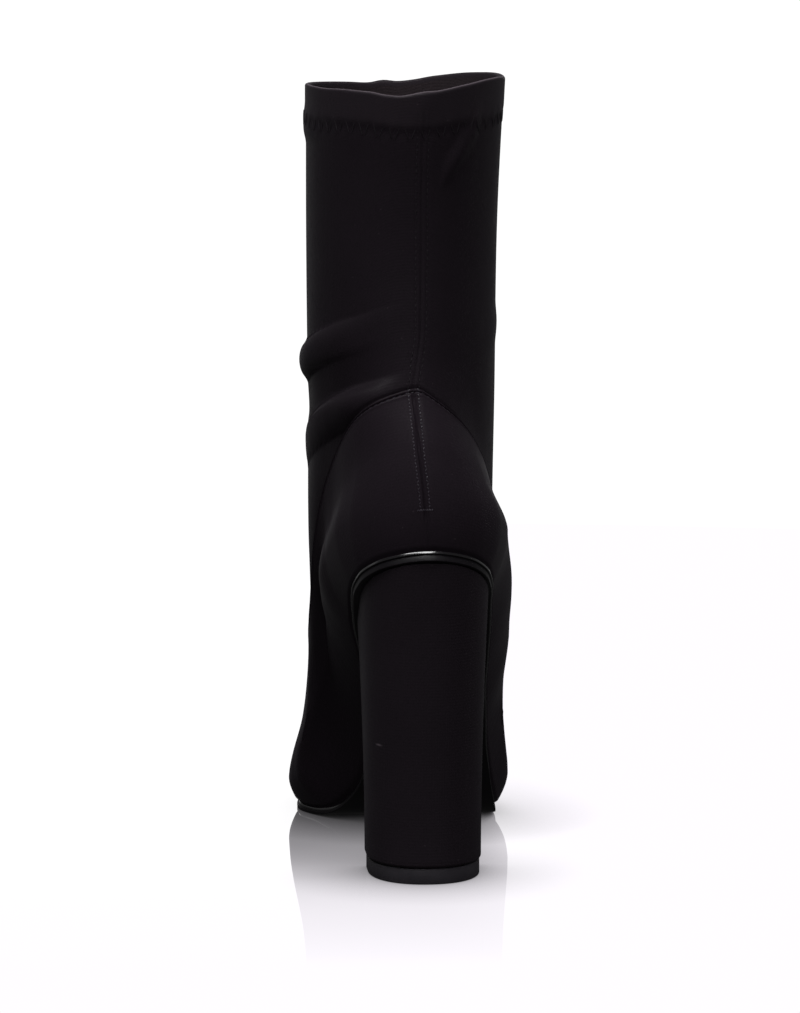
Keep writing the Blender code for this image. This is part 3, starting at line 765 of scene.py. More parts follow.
def per_level(level, at):
    """Millimetres along the upper for one level, at a level, for each angle."""
    return frame_on_upper(np.full((1, len(at)), level), at)[2][0]


def panel_line(at):
    """The level of the lower panel's edge at each angle."""
    return PANEL - through(PANEL_DROP, 1, signed(at)) / per_level(PANEL, at)


hem_line = COLLAR - through(HEM_LINE, 1, signed(angles)) / per_level(COLLAR, angles)
print("hem line at levels", hem_line.min().round(2), "to", hem_line.max().round(2))

# %% Relief of the sock
HEM_PROUD = 0.38
HEM_ENDS = (-3.0, 2.0)           # from the zigzag, where the hem's second layer begins to end and ends
ZIGZAG_PULL = (0.0, -0.14, 1.9)  # from the zigzag, height and width: its thread draws the cloth in
PUCKER, PUCKER_OVER, PUCKER_PITCH = 0.08, 3.2, 5.4   # small waves along the zigzag
LEG_RADIUS = 34.0                # for their pitch round the leg
PRESSED = (0.3, -0.6, 0.55)      # above the panel's edge, height and width: the cloth is pressed in
SEAM_BEGINS = (2.0, 10.0)        # below the collar's edge, where the seam's groove begins and is full
BULK_ENDS = (2.0, 14.0)          # where a bulky spot begins to fade and is gone
LIFT_ENDS = 26.0                 # where the collar's rise and fall has died away


def sock_relief(levels, at):
    """The sock's outer face: points, normals, and how far each stands off the plain form."""
    points, normal, _, per_turn = frame_on_upper(levels, at)
    below_rim = (COLLAR - levels) * per_level(COLLAR, at)
    below_hem = below_rim - through(HEM_LINE, 1, signed(at))
    above_panel = (levels - panel_line(at)) * per_level(PANEL, at)
    seam = seam_relief(from_seam(points, at, per_turn), SHAFT_SEAM)
    waves = np.sin(at * LEG_RADIUS * 2 * math.pi / PUCKER_PITCH)
    relief = folds(points, at) + seam * smooth(below_rim, *SEAM_BEGINS)
    relief += HEM_PROUD * (1 - smooth(below_hem, *HEM_ENDS)) + humps(above_panel, [PRESSED])
    relief += PUCKER * bell(below_hem, PUCKER_OVER) * waves + humps(below_hem, [ZIGZAG_PULL])
    for angle, width, out, _ in SEAM_BULK:
        spot = bell(signed(at - math.radians(angle)), width)
        relief += out * spot * (1 - smooth(below_rim, *BULK_ENDS))
    return points, normal, relief


def rim_lift(levels, at):
    """How far the collar's edge is pulled up or down, dying away down the shaft."""
    below_rim = (COLLAR - levels) * per_level(COLLAR, at)
    lift = through(RIM_LIFT, 1, signed(at))
    for angle, width, _, up in SEAM_BULK:
        lift = lift + up * bell(signed(at - math.radians(angle)), width)
    return lift * (1 - smooth(below_rim, 0.0, LIFT_ENDS))


def sock_face(levels, at, offset=0.0):
    """The sock's face, with its folds, seam and hem, moved in or out by an offset."""
    points, normal, relief = sock_relief(levels, at)
    face = points + normal * (relief + offset)[:, :, None]
    face[:, :, 2] += rim_lift(levels, at)
    return face


def inside(levels, offset):
    """The back of the cloth: it follows the troughs and the collar's line, but not the seam."""
    points, normal, _, _ = frame_on_upper(levels, angles)
    face = points + normal * (np.minimum(folds(points, angles), 0.0) + offset)[:, :, None]
    face[:, :, 2] += rim_lift(levels, angles)
    return face


def levels_between(low, high, count):
    """Rows of levels from one line to another, without the last."""
    share = np.linspace(0.0, 1.0, count, endpoint=False)[:, None]
    return low + share * (high - low)


rim_line = np.full(COLUMNS, COLLAR)
rim_out = sock_relief(rim_line[None], angles)[2]
print("the collar's edge stands", rim_out.min().round(2), "to", rim_out.max().round(2), "mm proud")

# %% Sock
SOCK_WALL = 1.5
CLOTH = 0.75               # one layer, half of the wall
HEM_THINNER = 0.05         # the hem's inner layer is drawn a little flatter
TUCKED = 6.0               # how far the sock runs on under the lower panel
TUCK_SUNK = -0.35          # and how much deeper it lies there
TUCK_RISES = (-4.5, -1.0)  # above the panel's edge, where it comes up to its own face
RIM_HEIGHT = 0.9           # of the folded edge, as a share of its half thickness
RIM_HIGHLIGHT = (1.35, 0.42)    # a painted highlight along the collar's folded edge, where its top faces the light: lightest at this turn from outside, this widely
HEM_PALE = 0.06            # handled most, the hem is a little paler
PALE_ENDS = (-3.0, 0.0)    # from the zigzag
HEM_FADED = 0.16           # and the cloth's back is paler still
HIDDEN_ROWS, SHOWN_ROWS, RIM_ROWS, HEM_ROWS, BACK_ROWS = 12, 196, 13, 14, 56
foot_line = np.zeros(COLUMNS)
tuck = panel_line(angles) - TUCKED / per_level(PANEL, angles)
hidden = levels_between(foot_line, tuck, HIDDEN_ROWS)
shown = levels_between(tuck, rim_line, SHOWN_ROWS)
above_panel = (shown - panel_line(angles)) * per_level(PANEL, angles)
below_hem = (hem_line - shown) * per_level(COLLAR, angles)

outer = [
    sock_face(hidden, angles, TUCK_SUNK),
    sock_face(shown, angles, TUCK_SUNK * (1 - smooth(above_panel, *TUCK_RISES))),
]
wear_and_highlight = [np.zeros(hidden.shape), HEM_PALE * (1 - smooth(below_hem, *PALE_ENDS))]
centre, radius = (rim_out - SOCK_WALL) / 2, (rim_out + SOCK_WALL) / 2
highlight_at, highlight_over = RIM_HIGHLIGHT
for turn in np.linspace(0.0, math.pi, RIM_ROWS):
    ring = sock_face(rim_line[None], angles, centre - rim_out + radius * math.cos(turn))
    ring[:, :, 2] += RIM_HEIGHT * radius * math.sin(turn)
    outer.append(ring)
    # a painted highlight round the top of the folded edge, beside the paler hem and the paler back of the
    # cloth
    lightened = max(bell(turn - highlight_at, highlight_over), HEM_FADED * smooth(turn - highlight_at), HEM_PALE)
    wear_and_highlight.append(np.full((1, COLUMNS), lightened))

hem_inside = levels_between(rim_line, hem_line, HEM_ROWS)[1:]
behind_lining = levels_between(hem_line, foot_line, BACK_ROWS)
rows = np.concatenate([
    *outer, inside(hem_inside, HEM_THINNER - SOCK_WALL), inside(behind_lining, -CLOTH),
    edge_ring(angles, -CLOTH, 0.0)[None],
])
wear_and_highlight.append(np.full(hem_inside.shape, HEM_FADED))
wear_and_highlight.append(np.zeros((len(behind_lining) + 1, COLUMNS)))
sock = skin("sock", rows, sock_cloth, closed=True, wear_and_highlight=np.concatenate(wear_and_highlight))
wear(sock, "stretch_cloth", "upper")

# %% [markdown]
# ## The lining
# A soft brushed tricot lines the boot and ends just below the collar's edge, where it is what the
# eye meets inside. A Solidify modifier could give it thickness, but a second tube that follows the
# back of the sock stays clear of it everywhere, also in the troughs of the folds.

# %% Lining
FACING = 1.0               # the lining ends this far below the collar's edge
LINING_FOOT = 0.02         # the level where it begins
LINING_CLEAR = 0.05        # between the sock's back and the lining
LINING_THICK, LINING_EDGE = 0.3, 0.1            # from the wall to its face, on the shaft and at its foot
LINING_UP, LINING_HEM, LINING_DOWN = 50, 10, 60     # rows up to the hem's stitches, behind it, and down
lining_top = COLLAR - FACING / per_level(COLLAR, angles)
lining_foot = np.full(COLUMNS, LINING_FOOT)
rows = [
    inside(levels_between(lining_foot, hem_line, LINING_UP), -CLOTH - LINING_CLEAR),
    inside(levels_between(hem_line, lining_top, LINING_HEM), -SOCK_WALL),
    inside(levels_between(lining_top, lining_foot, LINING_DOWN), -SOCK_WALL - LINING_THICK),
    edge_ring(angles, -SOCK_WALL - LINING_EDGE, 0.0)[None],
]
lining = skin("sock_lining", np.concatenate(rows), hem_lining, closed=True)
wear(lining, "stretch_cloth", "upper")

# %% [markdown]
# ## The lower panel
# Counter, quarters and vamp are one stiffened piece of the same cloth, glued over the sock and
# edge-stitched along its top line. Its edge is turned under, so it ends in a small roll, and the
# row of stitches below pulls a narrow valley. At its foot it is lasted under and nips in above the
# rand. It could be cut from the sock's mesh, but rows of its own that crowd at the edge show the
# roll and the valley with few faces.

# %% Relief of the lower panel
PANEL_STEP = 0.9           # how far it stands off the sock
EDGE_STITCH = 1.6          # from the panel's edge to its row of stitches
EDGE_ROUND = 0.7           # radius of the turned edge
EDGE_SECTION = [
    # below the panel's edge, height, width
    (0.7, 0.14, 0.45),            # the turned edge is thicker
    (EDGE_STITCH, -0.50, 0.36),   # the stitches pull a valley
    (2.6, 0.14, 0.70),            # and the cloth swells below it
]
LASTED = 2.6               # height of the nipped foot of the panel
FOOT_LEVEL = 0.05          # the level where that height is measured
SEAM_DEEPENS = (126.0, 134.0)     # heights between which the seam's groove goes from half to full
FLANK_OUT = 2.0                   # fuller on the medial side
FLANK_AT, FLANK_OVER = (-68.0, 100.0), (24.0, 24.0)   # its angle in degrees and height, and how widely
PUSH_FADES = 28.0          # below its edge the stiff panel keeps its own form from here on
PUSH_OVER = np.radians(np.linspace(-12, 12, 9))       # a push is evened out over these turns


def pushed_out(at):
    """How far the sock's folds push the panel's stiff edge out, evened out along it."""
    near = [at + shift for shift in PUSH_OVER]
    return np.mean([folds(on_upper(panel_line(a)[None], a), a)[0] for a in near], axis=0)


def panel_relief(levels, at):
    """The lower panel's face: points, normals, and how far each stands off the plain form."""
    points, normal, _, per_turn = frame_on_upper(levels, at)
    height = points[:, :, 2]
    below_edge = (panel_line(at) - levels) * per_level(PANEL, at)
    above_foot = levels * per_level(FOOT_LEVEL, at)
    roll = np.sqrt(1 - np.clip(1 - below_edge / EDGE_ROUND, 0.0, 1.0) ** 2)
    seam = seam_relief(from_seam(points, at, per_turn), COUNTER_SEAM)
    flank = bell(signed(at) - FLANK_AT[0], FLANK_OVER[0]) * bell(height - FLANK_AT[1], FLANK_OVER[1])
    relief = PANEL_STEP + humps(below_edge, EDGE_SECTION) + FLANK_OUT * flank
    relief = relief + seam * (1 + smooth(height, *SEAM_DEEPENS)) / 2
    relief = relief * roll * smooth(above_foot / LASTED)
    return points, normal, relief + pushed_out(at) * (1 - smooth(below_edge / PUSH_FADES))


def panel_face(levels, at):
    """The lower panel's face, with its edge, seam and flank."""
    points, normal, relief = panel_relief(levels, at)
    return points + normal * relief[:, :, None]


print("panel's edge at levels", panel_line(angles).min().round(2), "to", panel_line(angles).max().round(2))

# %% Lower panel
EDGE_ROWS, EDGE_REACH, EDGE_CROWD = 26, 7.0, 1.5      # rows near the edge crowd towards it
FACE_ROWS, PANEL_BACK_ROWS = 110, 10
TURNED_UNDER = 0.6         # the back begins this far below the edge
PANEL_SUNK = 0.12          # and lies this deep in the sock
PANEL_FOOT, PANEL_FOOT_BACK = (-0.2, 0.35), (-0.6, 0.1)   # sideways, and below the upper's edge
near_edge = EDGE_REACH * np.linspace(1.0, 0.0, EDGE_ROWS)[:, None] ** EDGE_CROWD
edge_levels = panel_line(angles) - near_edge / per_level(PANEL, angles)
face_levels = levels_between(foot_line, edge_levels[0], FACE_ROWS)
back_top = panel_line(angles) - TURNED_UNDER / per_level(PANEL, angles)
points, normal, _, _ = frame_on_upper(levels_between(back_top, foot_line, PANEL_BACK_ROWS), angles)
rows = [
    edge_ring(angles, *PANEL_FOOT)[None], panel_face(face_levels, angles), panel_face(edge_levels, angles),
    points + (folds(points, angles) - PANEL_SUNK)[:, :, None] * normal,
    edge_ring(angles, *PANEL_FOOT_BACK)[None],
]
lower_panel = skin("lower_panel", np.concatenate(rows), panel_cloth, closed=True)
wear(lower_panel, "stretch_cloth", "upper")

# %% [markdown]
# ## Film, rubber and felt
# Four finishes have no weave to show: the glossy film that wraps the rand, the satin rubbers of
# sole and top piece, and the felt on the insole. Each is one near black with a fine grain and slow
# patches of tone and gloss, so one function makes them all from a row of numbers.

# %% Rand and sole materials
PATCH = 14.0 * MM          # size of the slow changes in tone and gloss
PATCH_TONES_AT = (0.35, 0.75)
GLOSS_SHARE = 0.15         # of the roughness, more or less
COAT_ROUGHNESS = 0.12
COATED = [
    # name, dark, light, roughness, coat, grain and its depth in millimetres, specular level
    ("polyurethane_wrap_film", "#0d0b0e", "#131014", 0.20, 0.8, 0.8, 0.012, 1.0),   # the only mirror
    ("thermoplastic_rubber", "#0e0c0f", "#141115", 0.42, 0.0, 0.6, 0.03, 0.26),     # satin black
    ("polyurethane_top_lift", "#262428", "#2e2b30", 0.45, 0.0, 0.5, 0.03, 0.3),     # satin dark grey
    ("insole_sock_cloth", "#221e21", "#2e292d", 0.85, 0.0, 0.7, 0.10, 0.15),        # matt and soft
]


def coated(name, dark, light, roughness, coat, grain_size, depth, specular):
    """A smooth black with a fine grain: wrapped film, rubber, felt or thread, by its numbers."""
    material, tree = new_material(name)
    place = add(tree, "ShaderNodeTexCoord").outputs["Object"]
    grain = add(tree, "ShaderNodeTexNoise", {
        "Vector": place, "Scale": 1 / (grain_size * MM), "Detail": 3.0}).outputs["Fac"]
    patches = add(tree, "ShaderNodeTexNoise", {
        "Vector": place, "Scale": 1 / PATCH, "Detail": 4.0, "Roughness": 0.6}).outputs["Fac"]
    colour = add(tree, "ShaderNodeValToRGB", {"Fac": patches})
    for element, at, hue in zip(colour.color_ramp.elements, PATCH_TONES_AT, (dark, light)):
        element.position, element.color = at, linear(hue)
    gloss = add(tree, "ShaderNodeMapRange", {
        "Value": patches, "From Min": NOISE_RANGE[0], "From Max": NOISE_RANGE[1],
        "To Min": roughness * (1 - GLOSS_SHARE), "To Max": roughness * (1 + GLOSS_SHARE)})
    bump = add(tree, "ShaderNodeBump", {"Height": grain, "Strength": 1.0, "Distance": depth * MM})
    shader = add(tree, "ShaderNodeBsdfPrincipled", {
        "Base Color": colour.outputs["Color"], "Roughness": gloss.outputs[0],
        "Normal": bump.outputs[0], "Specular IOR Level": specular,
        "Coat Weight": coat, "Coat Roughness": COAT_ROUGHNESS})
    add(tree, "ShaderNodeOutputMaterial", {"Surface": shader.outputs[0]})
    return material


wrap_film, sole_rubber, lift_rubber, insole_felt = [coated(*row) for row in COATED]
print("materials:", [m.name for m in (wrap_film, sole_rubber, lift_rubber, insole_felt)])

# %% [markdown]
# ## Rand and outsole
# Between the upper and the sole sits the rand, a cord wrapped in glossy coated cloth that runs all
# the way round and draws a thin bright line at the heel. The outsole below it is thin, with rounded
# corners. A bevelled curve could make both, but their edge thins from the heel to the ball, so
# they are the bottom outline, stacked in rows.

# %% Rand and outsole
GAP = 0.3                                       # between one layer and the next
RAND_THICK = 1.2
RAND_REACH, RAND_AT_BALL = 1.6, 0.5             # how far it stands out at the heel and at the ball
RAND_NOSE, RAND_LEAN = 4.0, 0.2                 # blunter than a round bead, 2, and leaning back
RAND_INSIDE = -4.0                              # how far in under the upper it runs
OUTSOLE_HEEL, OUTSOLE_BALL = 2.1, 1.0           # its thickness at the heel and at the ball
OUTSOLE_REACH = 1.0
OUTSOLE_ROUND, OUTSOLE_SHOULDER = 0.3, 0.35     # at its lower and its upper corner
CLOSED = 0.45                                   # the cemented joint leaves hardly a line
SOLE_GIRTH = 0.55                               # metres round the sole
EDGE_COLUMNS, BEAD_STEPS, CORNER_STEPS = 420, 21, 6
edge_angles = np.linspace(0.0, 2 * math.pi, EDGE_COLUMNS, endpoint=False)
quarter = np.linspace(0.0, math.pi / 2, CORNER_STEPS)


def stacked(sections):
    """Rows of the bottom outline: a reach, a depth and how much it thins for each."""
    return np.array([edge_ring(edge_angles, *section) for section in sections])


def corner(radius):
    """A rounded corner of the sole's edge: a reach and an inset for each step."""
    return [(OUTSOLE_REACH - radius * (1 - math.sin(t)), radius * (1 - math.cos(t))) for t in quarter]


rand_radius = RAND_THICK / 2
bead = [
    (RAND_REACH - rand_radius * (1 - rounded(math.cos(turn), RAND_NOSE) - RAND_LEAN * math.sin(turn)),
     GAP + rand_radius * (1 + rounded(math.sin(turn), RAND_NOSE)))
    for turn in np.linspace(math.pi / 2, -math.pi / 2, BEAD_STEPS)
]
heel_rows, ball_rows = (
    stacked([(RAND_INSIDE, bead[0][1]), *[(reach - less, depth) for reach, depth in bead],
             (RAND_INSIDE, bead[-1][1])])
    for less in (0.0, RAND_REACH - RAND_AT_BALL))
mix = at_ball(heel_rows[:, :, 1:2])
rand = skin("rand_bead", heel_rows + mix * (ball_rows - heel_rows), wrap_film, girth=SOLE_GIRTH)
wear(rand, "wrapped_cord", "rand")

sole_top = 2 * GAP + RAND_THICK
sole_bottom = sole_top + OUTSOLE_HEEL
edge = [(reach, sole_bottom - inset, OUTSOLE_HEEL - OUTSOLE_BALL) for reach, inset in corner(OUTSOLE_ROUND)]
edge += [(reach, sole_top - CLOSED + inset) for reach, inset in reversed(corner(OUTSOLE_SHOULDER))]
outsole = skin("outsole_edge", stacked(edge), sole_rubber, girth=SOLE_GIRTH)
wear(outsole, "sole_rubber", "outsole")

# %% [markdown]
# ## Padded insole
# A thin foam pad under a felted cloth, glued to the insole board. A cloth simulation swells loose
# cushions well, but this pad is held flat all over, so a crowned section is swept along the sole
# and made thinner towards heel and toe.

# %% Padded insole
INSOLE_THICK, INSOLE_INSET = 2.0, 2.1
INSOLE_CROWN = 0.5         # how much its middle domes
INSOLE_GIRTH = 0.15        # metres round its section
STATIONS, ACROSS = 150, 15
ENDS_CUT = 0.03            # it stops this turn short of heel and toe
SQUARENESS = 8             # of its section: 2 is an ellipse, more is flatter on top
TAPER = 0.3                # a higher power makes it thin sooner towards its ends
ends = np.linspace(ENDS_CUT, math.pi - ENDS_CUT, STATIONS)
lateral_edge, medial_edge = (edge_ring(turn, -INSOLE_INSET, 0.0) for turn in (ends, 2 * math.pi - ends))
across = np.linspace(0.0, 1.0, ACROSS)
from_middle = 2 * across - 1
crown = INSOLE_THICK * (1 - from_middle ** SQUARENESS) ** (2 / SQUARENESS)
crown += INSOLE_CROWN * (1 - from_middle ** 2)
section = [*zip(across, np.zeros(ACROSS)), *zip(across[-2:0:-1], crown[-2:0:-1])]
grid = []
for share, height in section:
    row = lateral_edge + share * (medial_edge - lateral_edge)
    row[:, 1:] = np.column_stack(sole_point(lateral_edge[:, 1], -height * np.sin(ends) ** TAPER))
    grid.append(row)
insole = skin("padded_insole", np.array(grid).transpose(1, 0, 2), insole_felt, girth=INSOLE_GIRTH)
wear(insole, "insole_cloth", "insole")

# %% [markdown]
# ## Covered heel and top piece
# The block heel is a plastic moulding with the sock's cloth glued over it, drawn in quickly under
# its seat and turned under at the foot. The cloth's upper edge is tucked between heel and sole,
# which leaves a thin rounded lip there. The top piece is a satin polyurethane slab, a little
# smaller than the heel's foot, that shows as a dark grey band on the floor. A cylinder could be
# tapered for the heel, but its seat follows the sole's slope, so rows run from outline to outline.

# %% Heel
# back y, front y, widest y, half width, roundness at the back and at the front
HEEL_FOOT = (-19.6, 18.6, 6.0, 20.4, 2.2, 9.0)
HEEL_SEAT = (-23.6, 26.0, 7.0, 22.7, 2.3, 9.0)
HEEL_WAIST = 0.55                                       # below 1 it draws in quickly under its seat
HEEL_GAP, HEEL_FOOT_ROUND, HEEL_LIP = 0.25, 1.0, 0.4    # under the sole, and the rounding of foot and lip
HEEL_RISE = 90.0                                        # about its height, for the lip's share of it
TOP_PIECE_HEIGHT, TOP_PIECE_INSET = 5.5, 0.6
HEEL_COLUMNS, HEEL_ROWS = 180, 64
HEEL_GIRTH, LIFT_GIRTH = 0.14, 0.13                     # metres round the heel and the top piece
heel_angles = np.linspace(0.0, 2 * math.pi, HEEL_COLUMNS, endpoint=False)


def heel_outline(row, inset=0.0):
    """A D seen from above, round at the back and flat at the breast, drawn in by an inset."""
    back_y, front_y, widest_y, half, round_back, round_front = row
    cosine = np.cos(heel_angles)
    roundness = np.where(cosine > 0, round_back, round_front)
    reach = np.where(cosine > 0, widest_y - back_y, front_y - widest_y) - inset
    across = (half - inset) * rounded(np.sin(heel_angles), roundness)
    return across, widest_y - reach * rounded(cosine, roundness)


def heel_row(share, inset=0.0):
    """One row of the heel, from its foot (0) to its seat (1)."""
    foot_x, foot_y = heel_outline(HEEL_FOOT, inset)
    seat_x, seat_y = heel_outline(HEEL_SEAT, inset)
    seat_y, seat_z = sole_point(seat_y, sole_bottom + HEEL_GAP)
    spread = share ** (1 / HEEL_WAIST)
    floor = TOP_PIECE_HEIGHT + GAP + HEEL_FOOT_ROUND
    return np.column_stack([
        foot_x + (seat_x - foot_x) * spread, foot_y + (seat_y - foot_y) * spread,
        floor + (seat_z - floor) * share])


rows = []
for turn in quarter:
    row = heel_row(0.0, HEEL_FOOT_ROUND * (1 - math.sin(turn)))
    row[:, 2] -= HEEL_FOOT_ROUND * math.cos(turn)
    rows.append(row)
lip = HEEL_LIP / HEEL_RISE
rows += [heel_row(share) for share in np.linspace(0.0, 1.0 - lip, HEEL_ROWS)[1:]]
rows += [heel_row(1.0 - lip * (1 - math.sin(t)), HEEL_LIP * (1 - math.cos(t))) for t in quarter[1:]]
heel = skin("covered_heel", np.array(rows), heel_cloth, girth=HEEL_GIRTH)
wear(heel, "heel_cloth", "heel")

# %% Top piece
LIFT_ROUND = 0.3
LIFT_TOP = [
    # its upper corner: inset, below the top
    (0.0, 0.3), (0.15, 0.08), (0.4, 0.0),
]
sections = [(LIFT_ROUND * (1 - math.sin(t)), LIFT_ROUND * (1 - math.cos(t))) for t in quarter]
sections += [(inset, TOP_PIECE_HEIGHT - below) for inset, below in LIFT_TOP]
rows = []
for inset, z in sections:
    x, y = heel_outline(HEEL_FOOT, TOP_PIECE_INSET + inset)
    rows.append(np.column_stack([x, y, np.full(HEEL_COLUMNS, z)]))
lift_piece = skin("top_lift", np.array(rows), lift_rubber, girth=LIFT_GIRTH)
wear(lift_piece, "top_piece_rubber", "top_piece")

# %% [markdown]
# ## Stitches
# A stitch is a short length of thread that dives into the cloth at both ends, so a grain of rice
# is a fair stand-in at this size. Copies could be placed one by one in a loop, but Geometry Nodes
# do it in one tree: it sows a stitch at every step along a path, turned along it and flat on the
# cloth. A slant that changes side at every step makes the hem's zigzag. The thread is a smooth
# black polyester. On the panel, where it catches the light, it is drawn lighter: a painted highlight.

# %% Thread and rows of stitches
thread = coated("polyester_thread", "#171417", "#1e1a1f", 0.45, 0.0, 0.3, 0.02, 0.25)
# the same black thread, drawn lighter for the panel: a painted highlight where it catches the light
thread_painted_highlight = coated("polyester_thread_painted_highlight", "#332f36", "#423c46", 0.36, 0.0, 0.3, 0.02, 0.5)
SEWN = {
    # row: thread, pitch, length of a stitch, its width, slant in degrees
    "shaft_seam_stitches": (thread, 2.3, 1.61, 0.336, 0),
    "counter_seam_stitches": (thread_painted_highlight, 1.25, 1.1, 0.4, 35),
    "seam_bar_tack": (thread_painted_highlight, 0.5, 0.7, 0.294, 60),
    "panel_edge_stitches": (thread_painted_highlight, 2.3, 1.38, 0.378, 0),
    "hem_zigzag_stitches": (thread, 2.8, 7.0, 0.42, 72),
}
print("rows of stitches:", list(SEWN))

# %% Stitch tree
NORMAL_NAME = "cloth_normal"


def stitch_tree():
    """Sows stitches along a path: pitch, length, thread width, slant and material are inputs."""
    tree = bpy.data.node_groups.new("stitches_along_path", "GeometryNodeTree")
    face = tree.interface
    face.new_socket("Path", in_out="INPUT", socket_type="NodeSocketGeometry")
    for name in ("Pitch", "Length", "Width", "Slant"):
        face.new_socket(name, in_out="INPUT", socket_type="NodeSocketFloat")
    face.new_socket("Thread", in_out="INPUT", socket_type="NodeSocketMaterial")
    face.new_socket("Stitches", in_out="OUTPUT", socket_type="NodeSocketGeometry")
    given = add(tree, "NodeGroupInput").outputs
    curve = add(tree, "GeometryNodeMeshToCurve", {"Mesh": given["Path"]})
    steps = add(tree, "GeometryNodeResampleCurve", {
        "Curve": curve.outputs[0], "Length": given["Pitch"]}, mode="LENGTH")
    out = add(tree, "GeometryNodeInputNamedAttribute", {"Name": NORMAL_NAME}, data_type="FLOAT_VECTOR")
    tangent = add(tree, "GeometryNodeInputTangent")
    flat = add(tree, "FunctionNodeAlignRotationToVector", {"Vector": out.outputs[0]}, axis="Z")
    ahead = add(tree, "FunctionNodeAlignRotationToVector", {
        "Rotation": flat.outputs[0], "Vector": tangent.outputs[0]}, axis="X", pivot_axis="Z")
    odd = add(tree, "ShaderNodeMath", {
        0: add(tree, "GeometryNodeInputIndex").outputs[0], 1: 2.0}, operation="MODULO")
    way = add(tree, "ShaderNodeMath", {0: odd.outputs[0], 1: -2.0, 2: 1.0}, operation="MULTIPLY_ADD")
    lean = add(tree, "ShaderNodeMath", {0: way.outputs[0], 1: given["Slant"]}, operation="MULTIPLY")
    spin = add(tree, "FunctionNodeAxisAngleToRotation", {"Axis": (0, 0, 1), "Angle": lean.outputs[0]})
    turned = add(tree, "FunctionNodeRotateRotation", {
        "Rotation": ahead.outputs[0], "Rotate By": spin.outputs[0]}, rotation_space="LOCAL")
    grain = add(tree, "GeometryNodeMeshUVSphere", {"Segments": 8, "Rings": 6, "Radius": 0.5})
    size = add(tree, "ShaderNodeCombineXYZ", {0: given["Length"], 1: given["Width"], 2: given["Width"]})
    sown = add(tree, "GeometryNodeInstanceOnPoints", {
        "Points": steps.outputs[0], "Instance": grain.outputs["Mesh"],
        "Rotation": turned.outputs[0], "Scale": size.outputs[0]})
    real = add(tree, "GeometryNodeRealizeInstances", {0: sown.outputs[0]})
    soft = add(tree, "GeometryNodeSetShadeSmooth", {0: real.outputs[0]})
    dyed = add(tree, "GeometryNodeSetMaterial", {0: soft.outputs[0], "Material": given["Thread"]})
    add(tree, "NodeGroupOutput", {0: dyed.outputs[0]})
    return tree


STITCHES = stitch_tree()
print("stitch tree:", len(STITCHES.nodes), "nodes")

# %% Sewing
def sew(name, paths):
    """A row of stitches along paths of points and normals, as one plain mesh."""
    yarn, pitch, length, width, slant = SEWN[name]
    points = np.concatenate([path for path, _ in paths]) * MM
    normals = np.concatenate([normal for _, normal in paths])
    ends = np.cumsum([len(path) for path, _ in paths])
    edges = [(k, k + 1) for k in range(len(points) - 1) if k + 1 not in ends]
    mesh = bpy.data.meshes.new(name)
    mesh.from_pydata(points.tolist(), edges, [])
    mesh.attributes.new(NORMAL_NAME, "FLOAT_VECTOR", "POINT").data.foreach_set("vector", normals.ravel())
    path = bpy.data.objects.new(name + "_path", mesh)
    bpy.context.scene.collection.objects.link(path)
    sizes = {
        "Pitch": pitch * MM, "Length": length * MM, "Width": width * MM,
        "Slant": math.radians(slant), "Thread": yarn}
    modifier = path.modifiers.new("stitches", "NODES")
    modifier.node_group = STITCHES
    for item in STITCHES.interface.items_tree:
        if item.name in sizes:
            modifier[item.identifier] = sizes[item.name]
    ready = path.evaluated_get(bpy.context.evaluated_depsgraph_get())
    rows = bpy.data.objects.new(name, bpy.data.meshes.new_from_object(ready))
    bpy.data.objects.remove(path)
    bpy.context.scene.collection.objects.link(rows)
    return wear(rows, "stretch_cloth")


print("stitches in 100 mm:", {name: round(100 / row[1]) for name, row in SEWN.items()})

# %% [markdown]
# ## Rows of stitches
# The paths lie on the same faces as the cloth, so the thread is neither buried nor afloat. Twin
# rows hold the back seam down and end in a bar tack above the heel. One row follows the panel's
# edge, and a tall zigzag, which stretches with the knit, holds the hem.

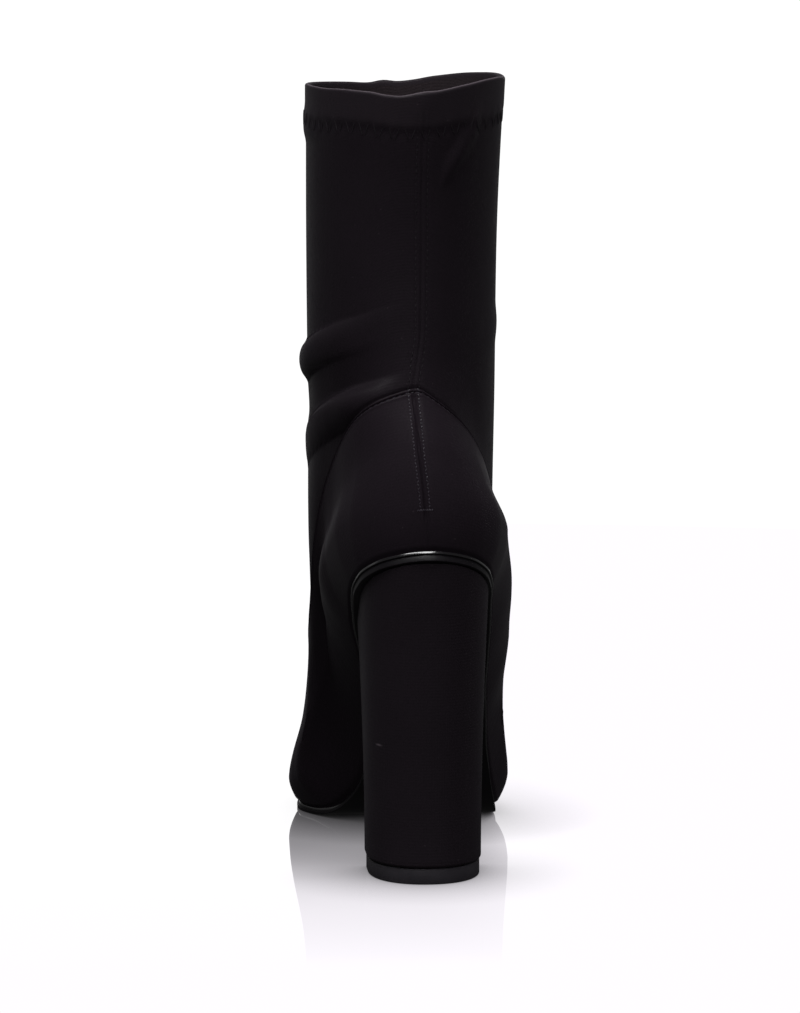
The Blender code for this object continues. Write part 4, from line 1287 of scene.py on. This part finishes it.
# %% Back seam stitches
BAR_TACK_HEIGHT = 134.0
BAR_TACK_WIDE = 2.4        # to each side of the seam
SHAFT_TOP = 264.0          # where the rows on the shaft end, under the hem
OFF_EDGE = (0.03, -0.02)   # levels between the panel's edge and the rows that end above and below it
ROW_POINTS, TACK_POINTS, LOOP_POINTS = 200, 24, 720


def on_face(levels, at, face):
    """A path on the sock or the panel: one point and normal for each pair of level and angle."""
    return face(levels[None], at)[0], frame_on_upper(levels[None], at)[1][0]


def beside_seam(low, high, face, away):
    """A row beside the back seam, between two levels."""
    levels = np.linspace(high, low, ROW_POINTS)
    at = seam_angle(on_upper(levels[:, None], np.zeros(1))[:, 0, 2])
    per_turn = frame_on_upper(levels[None], at)[3][0]
    return on_face(levels, at + away / per_turn, face)


def level_at(height):
    """The level of the back line at a height."""
    fine = np.linspace(0.0, COLLAR, 601)
    return float(np.interp(height, on_upper(fine[:, None], np.zeros(1))[:, 0, 2], fine))


tack = level_at(BAR_TACK_HEIGHT)
above_edge, below_edge = (PANEL + off for off in OFF_EDGE)
sew("shaft_seam_stitches", [
    beside_seam(above_edge, level_at(SHAFT_TOP), sock_face, k * SHAFT_SEAM[0]) for k in (1, -1)])
sew("counter_seam_stitches", [
    beside_seam(tack, below_edge, panel_face, k * COUNTER_SEAM[0]) for k in (1, -1)])
across = np.linspace(-BAR_TACK_WIDE, BAR_TACK_WIDE, TACK_POINTS)
at = seam_angle(BAR_TACK_HEIGHT) + across / frame_on_upper(np.array([[tack]]), np.zeros(1))[3][0]
sew("seam_bar_tack", [on_face(np.full(TACK_POINTS, tack), at, panel_face)])

# %% Edge and hem stitches
loop = np.linspace(0.0, 2 * math.pi, LOOP_POINTS)
edge_row = panel_line(loop) - EDGE_STITCH / per_level(PANEL, loop)
sew("panel_edge_stitches", [on_face(edge_row, loop, panel_face)])
hem_row = COLLAR - through(HEM_LINE, 1, signed(loop)) / per_level(COLLAR, loop)
sew("hem_zigzag_stitches", [on_face(hem_row, loop, sock_face)])
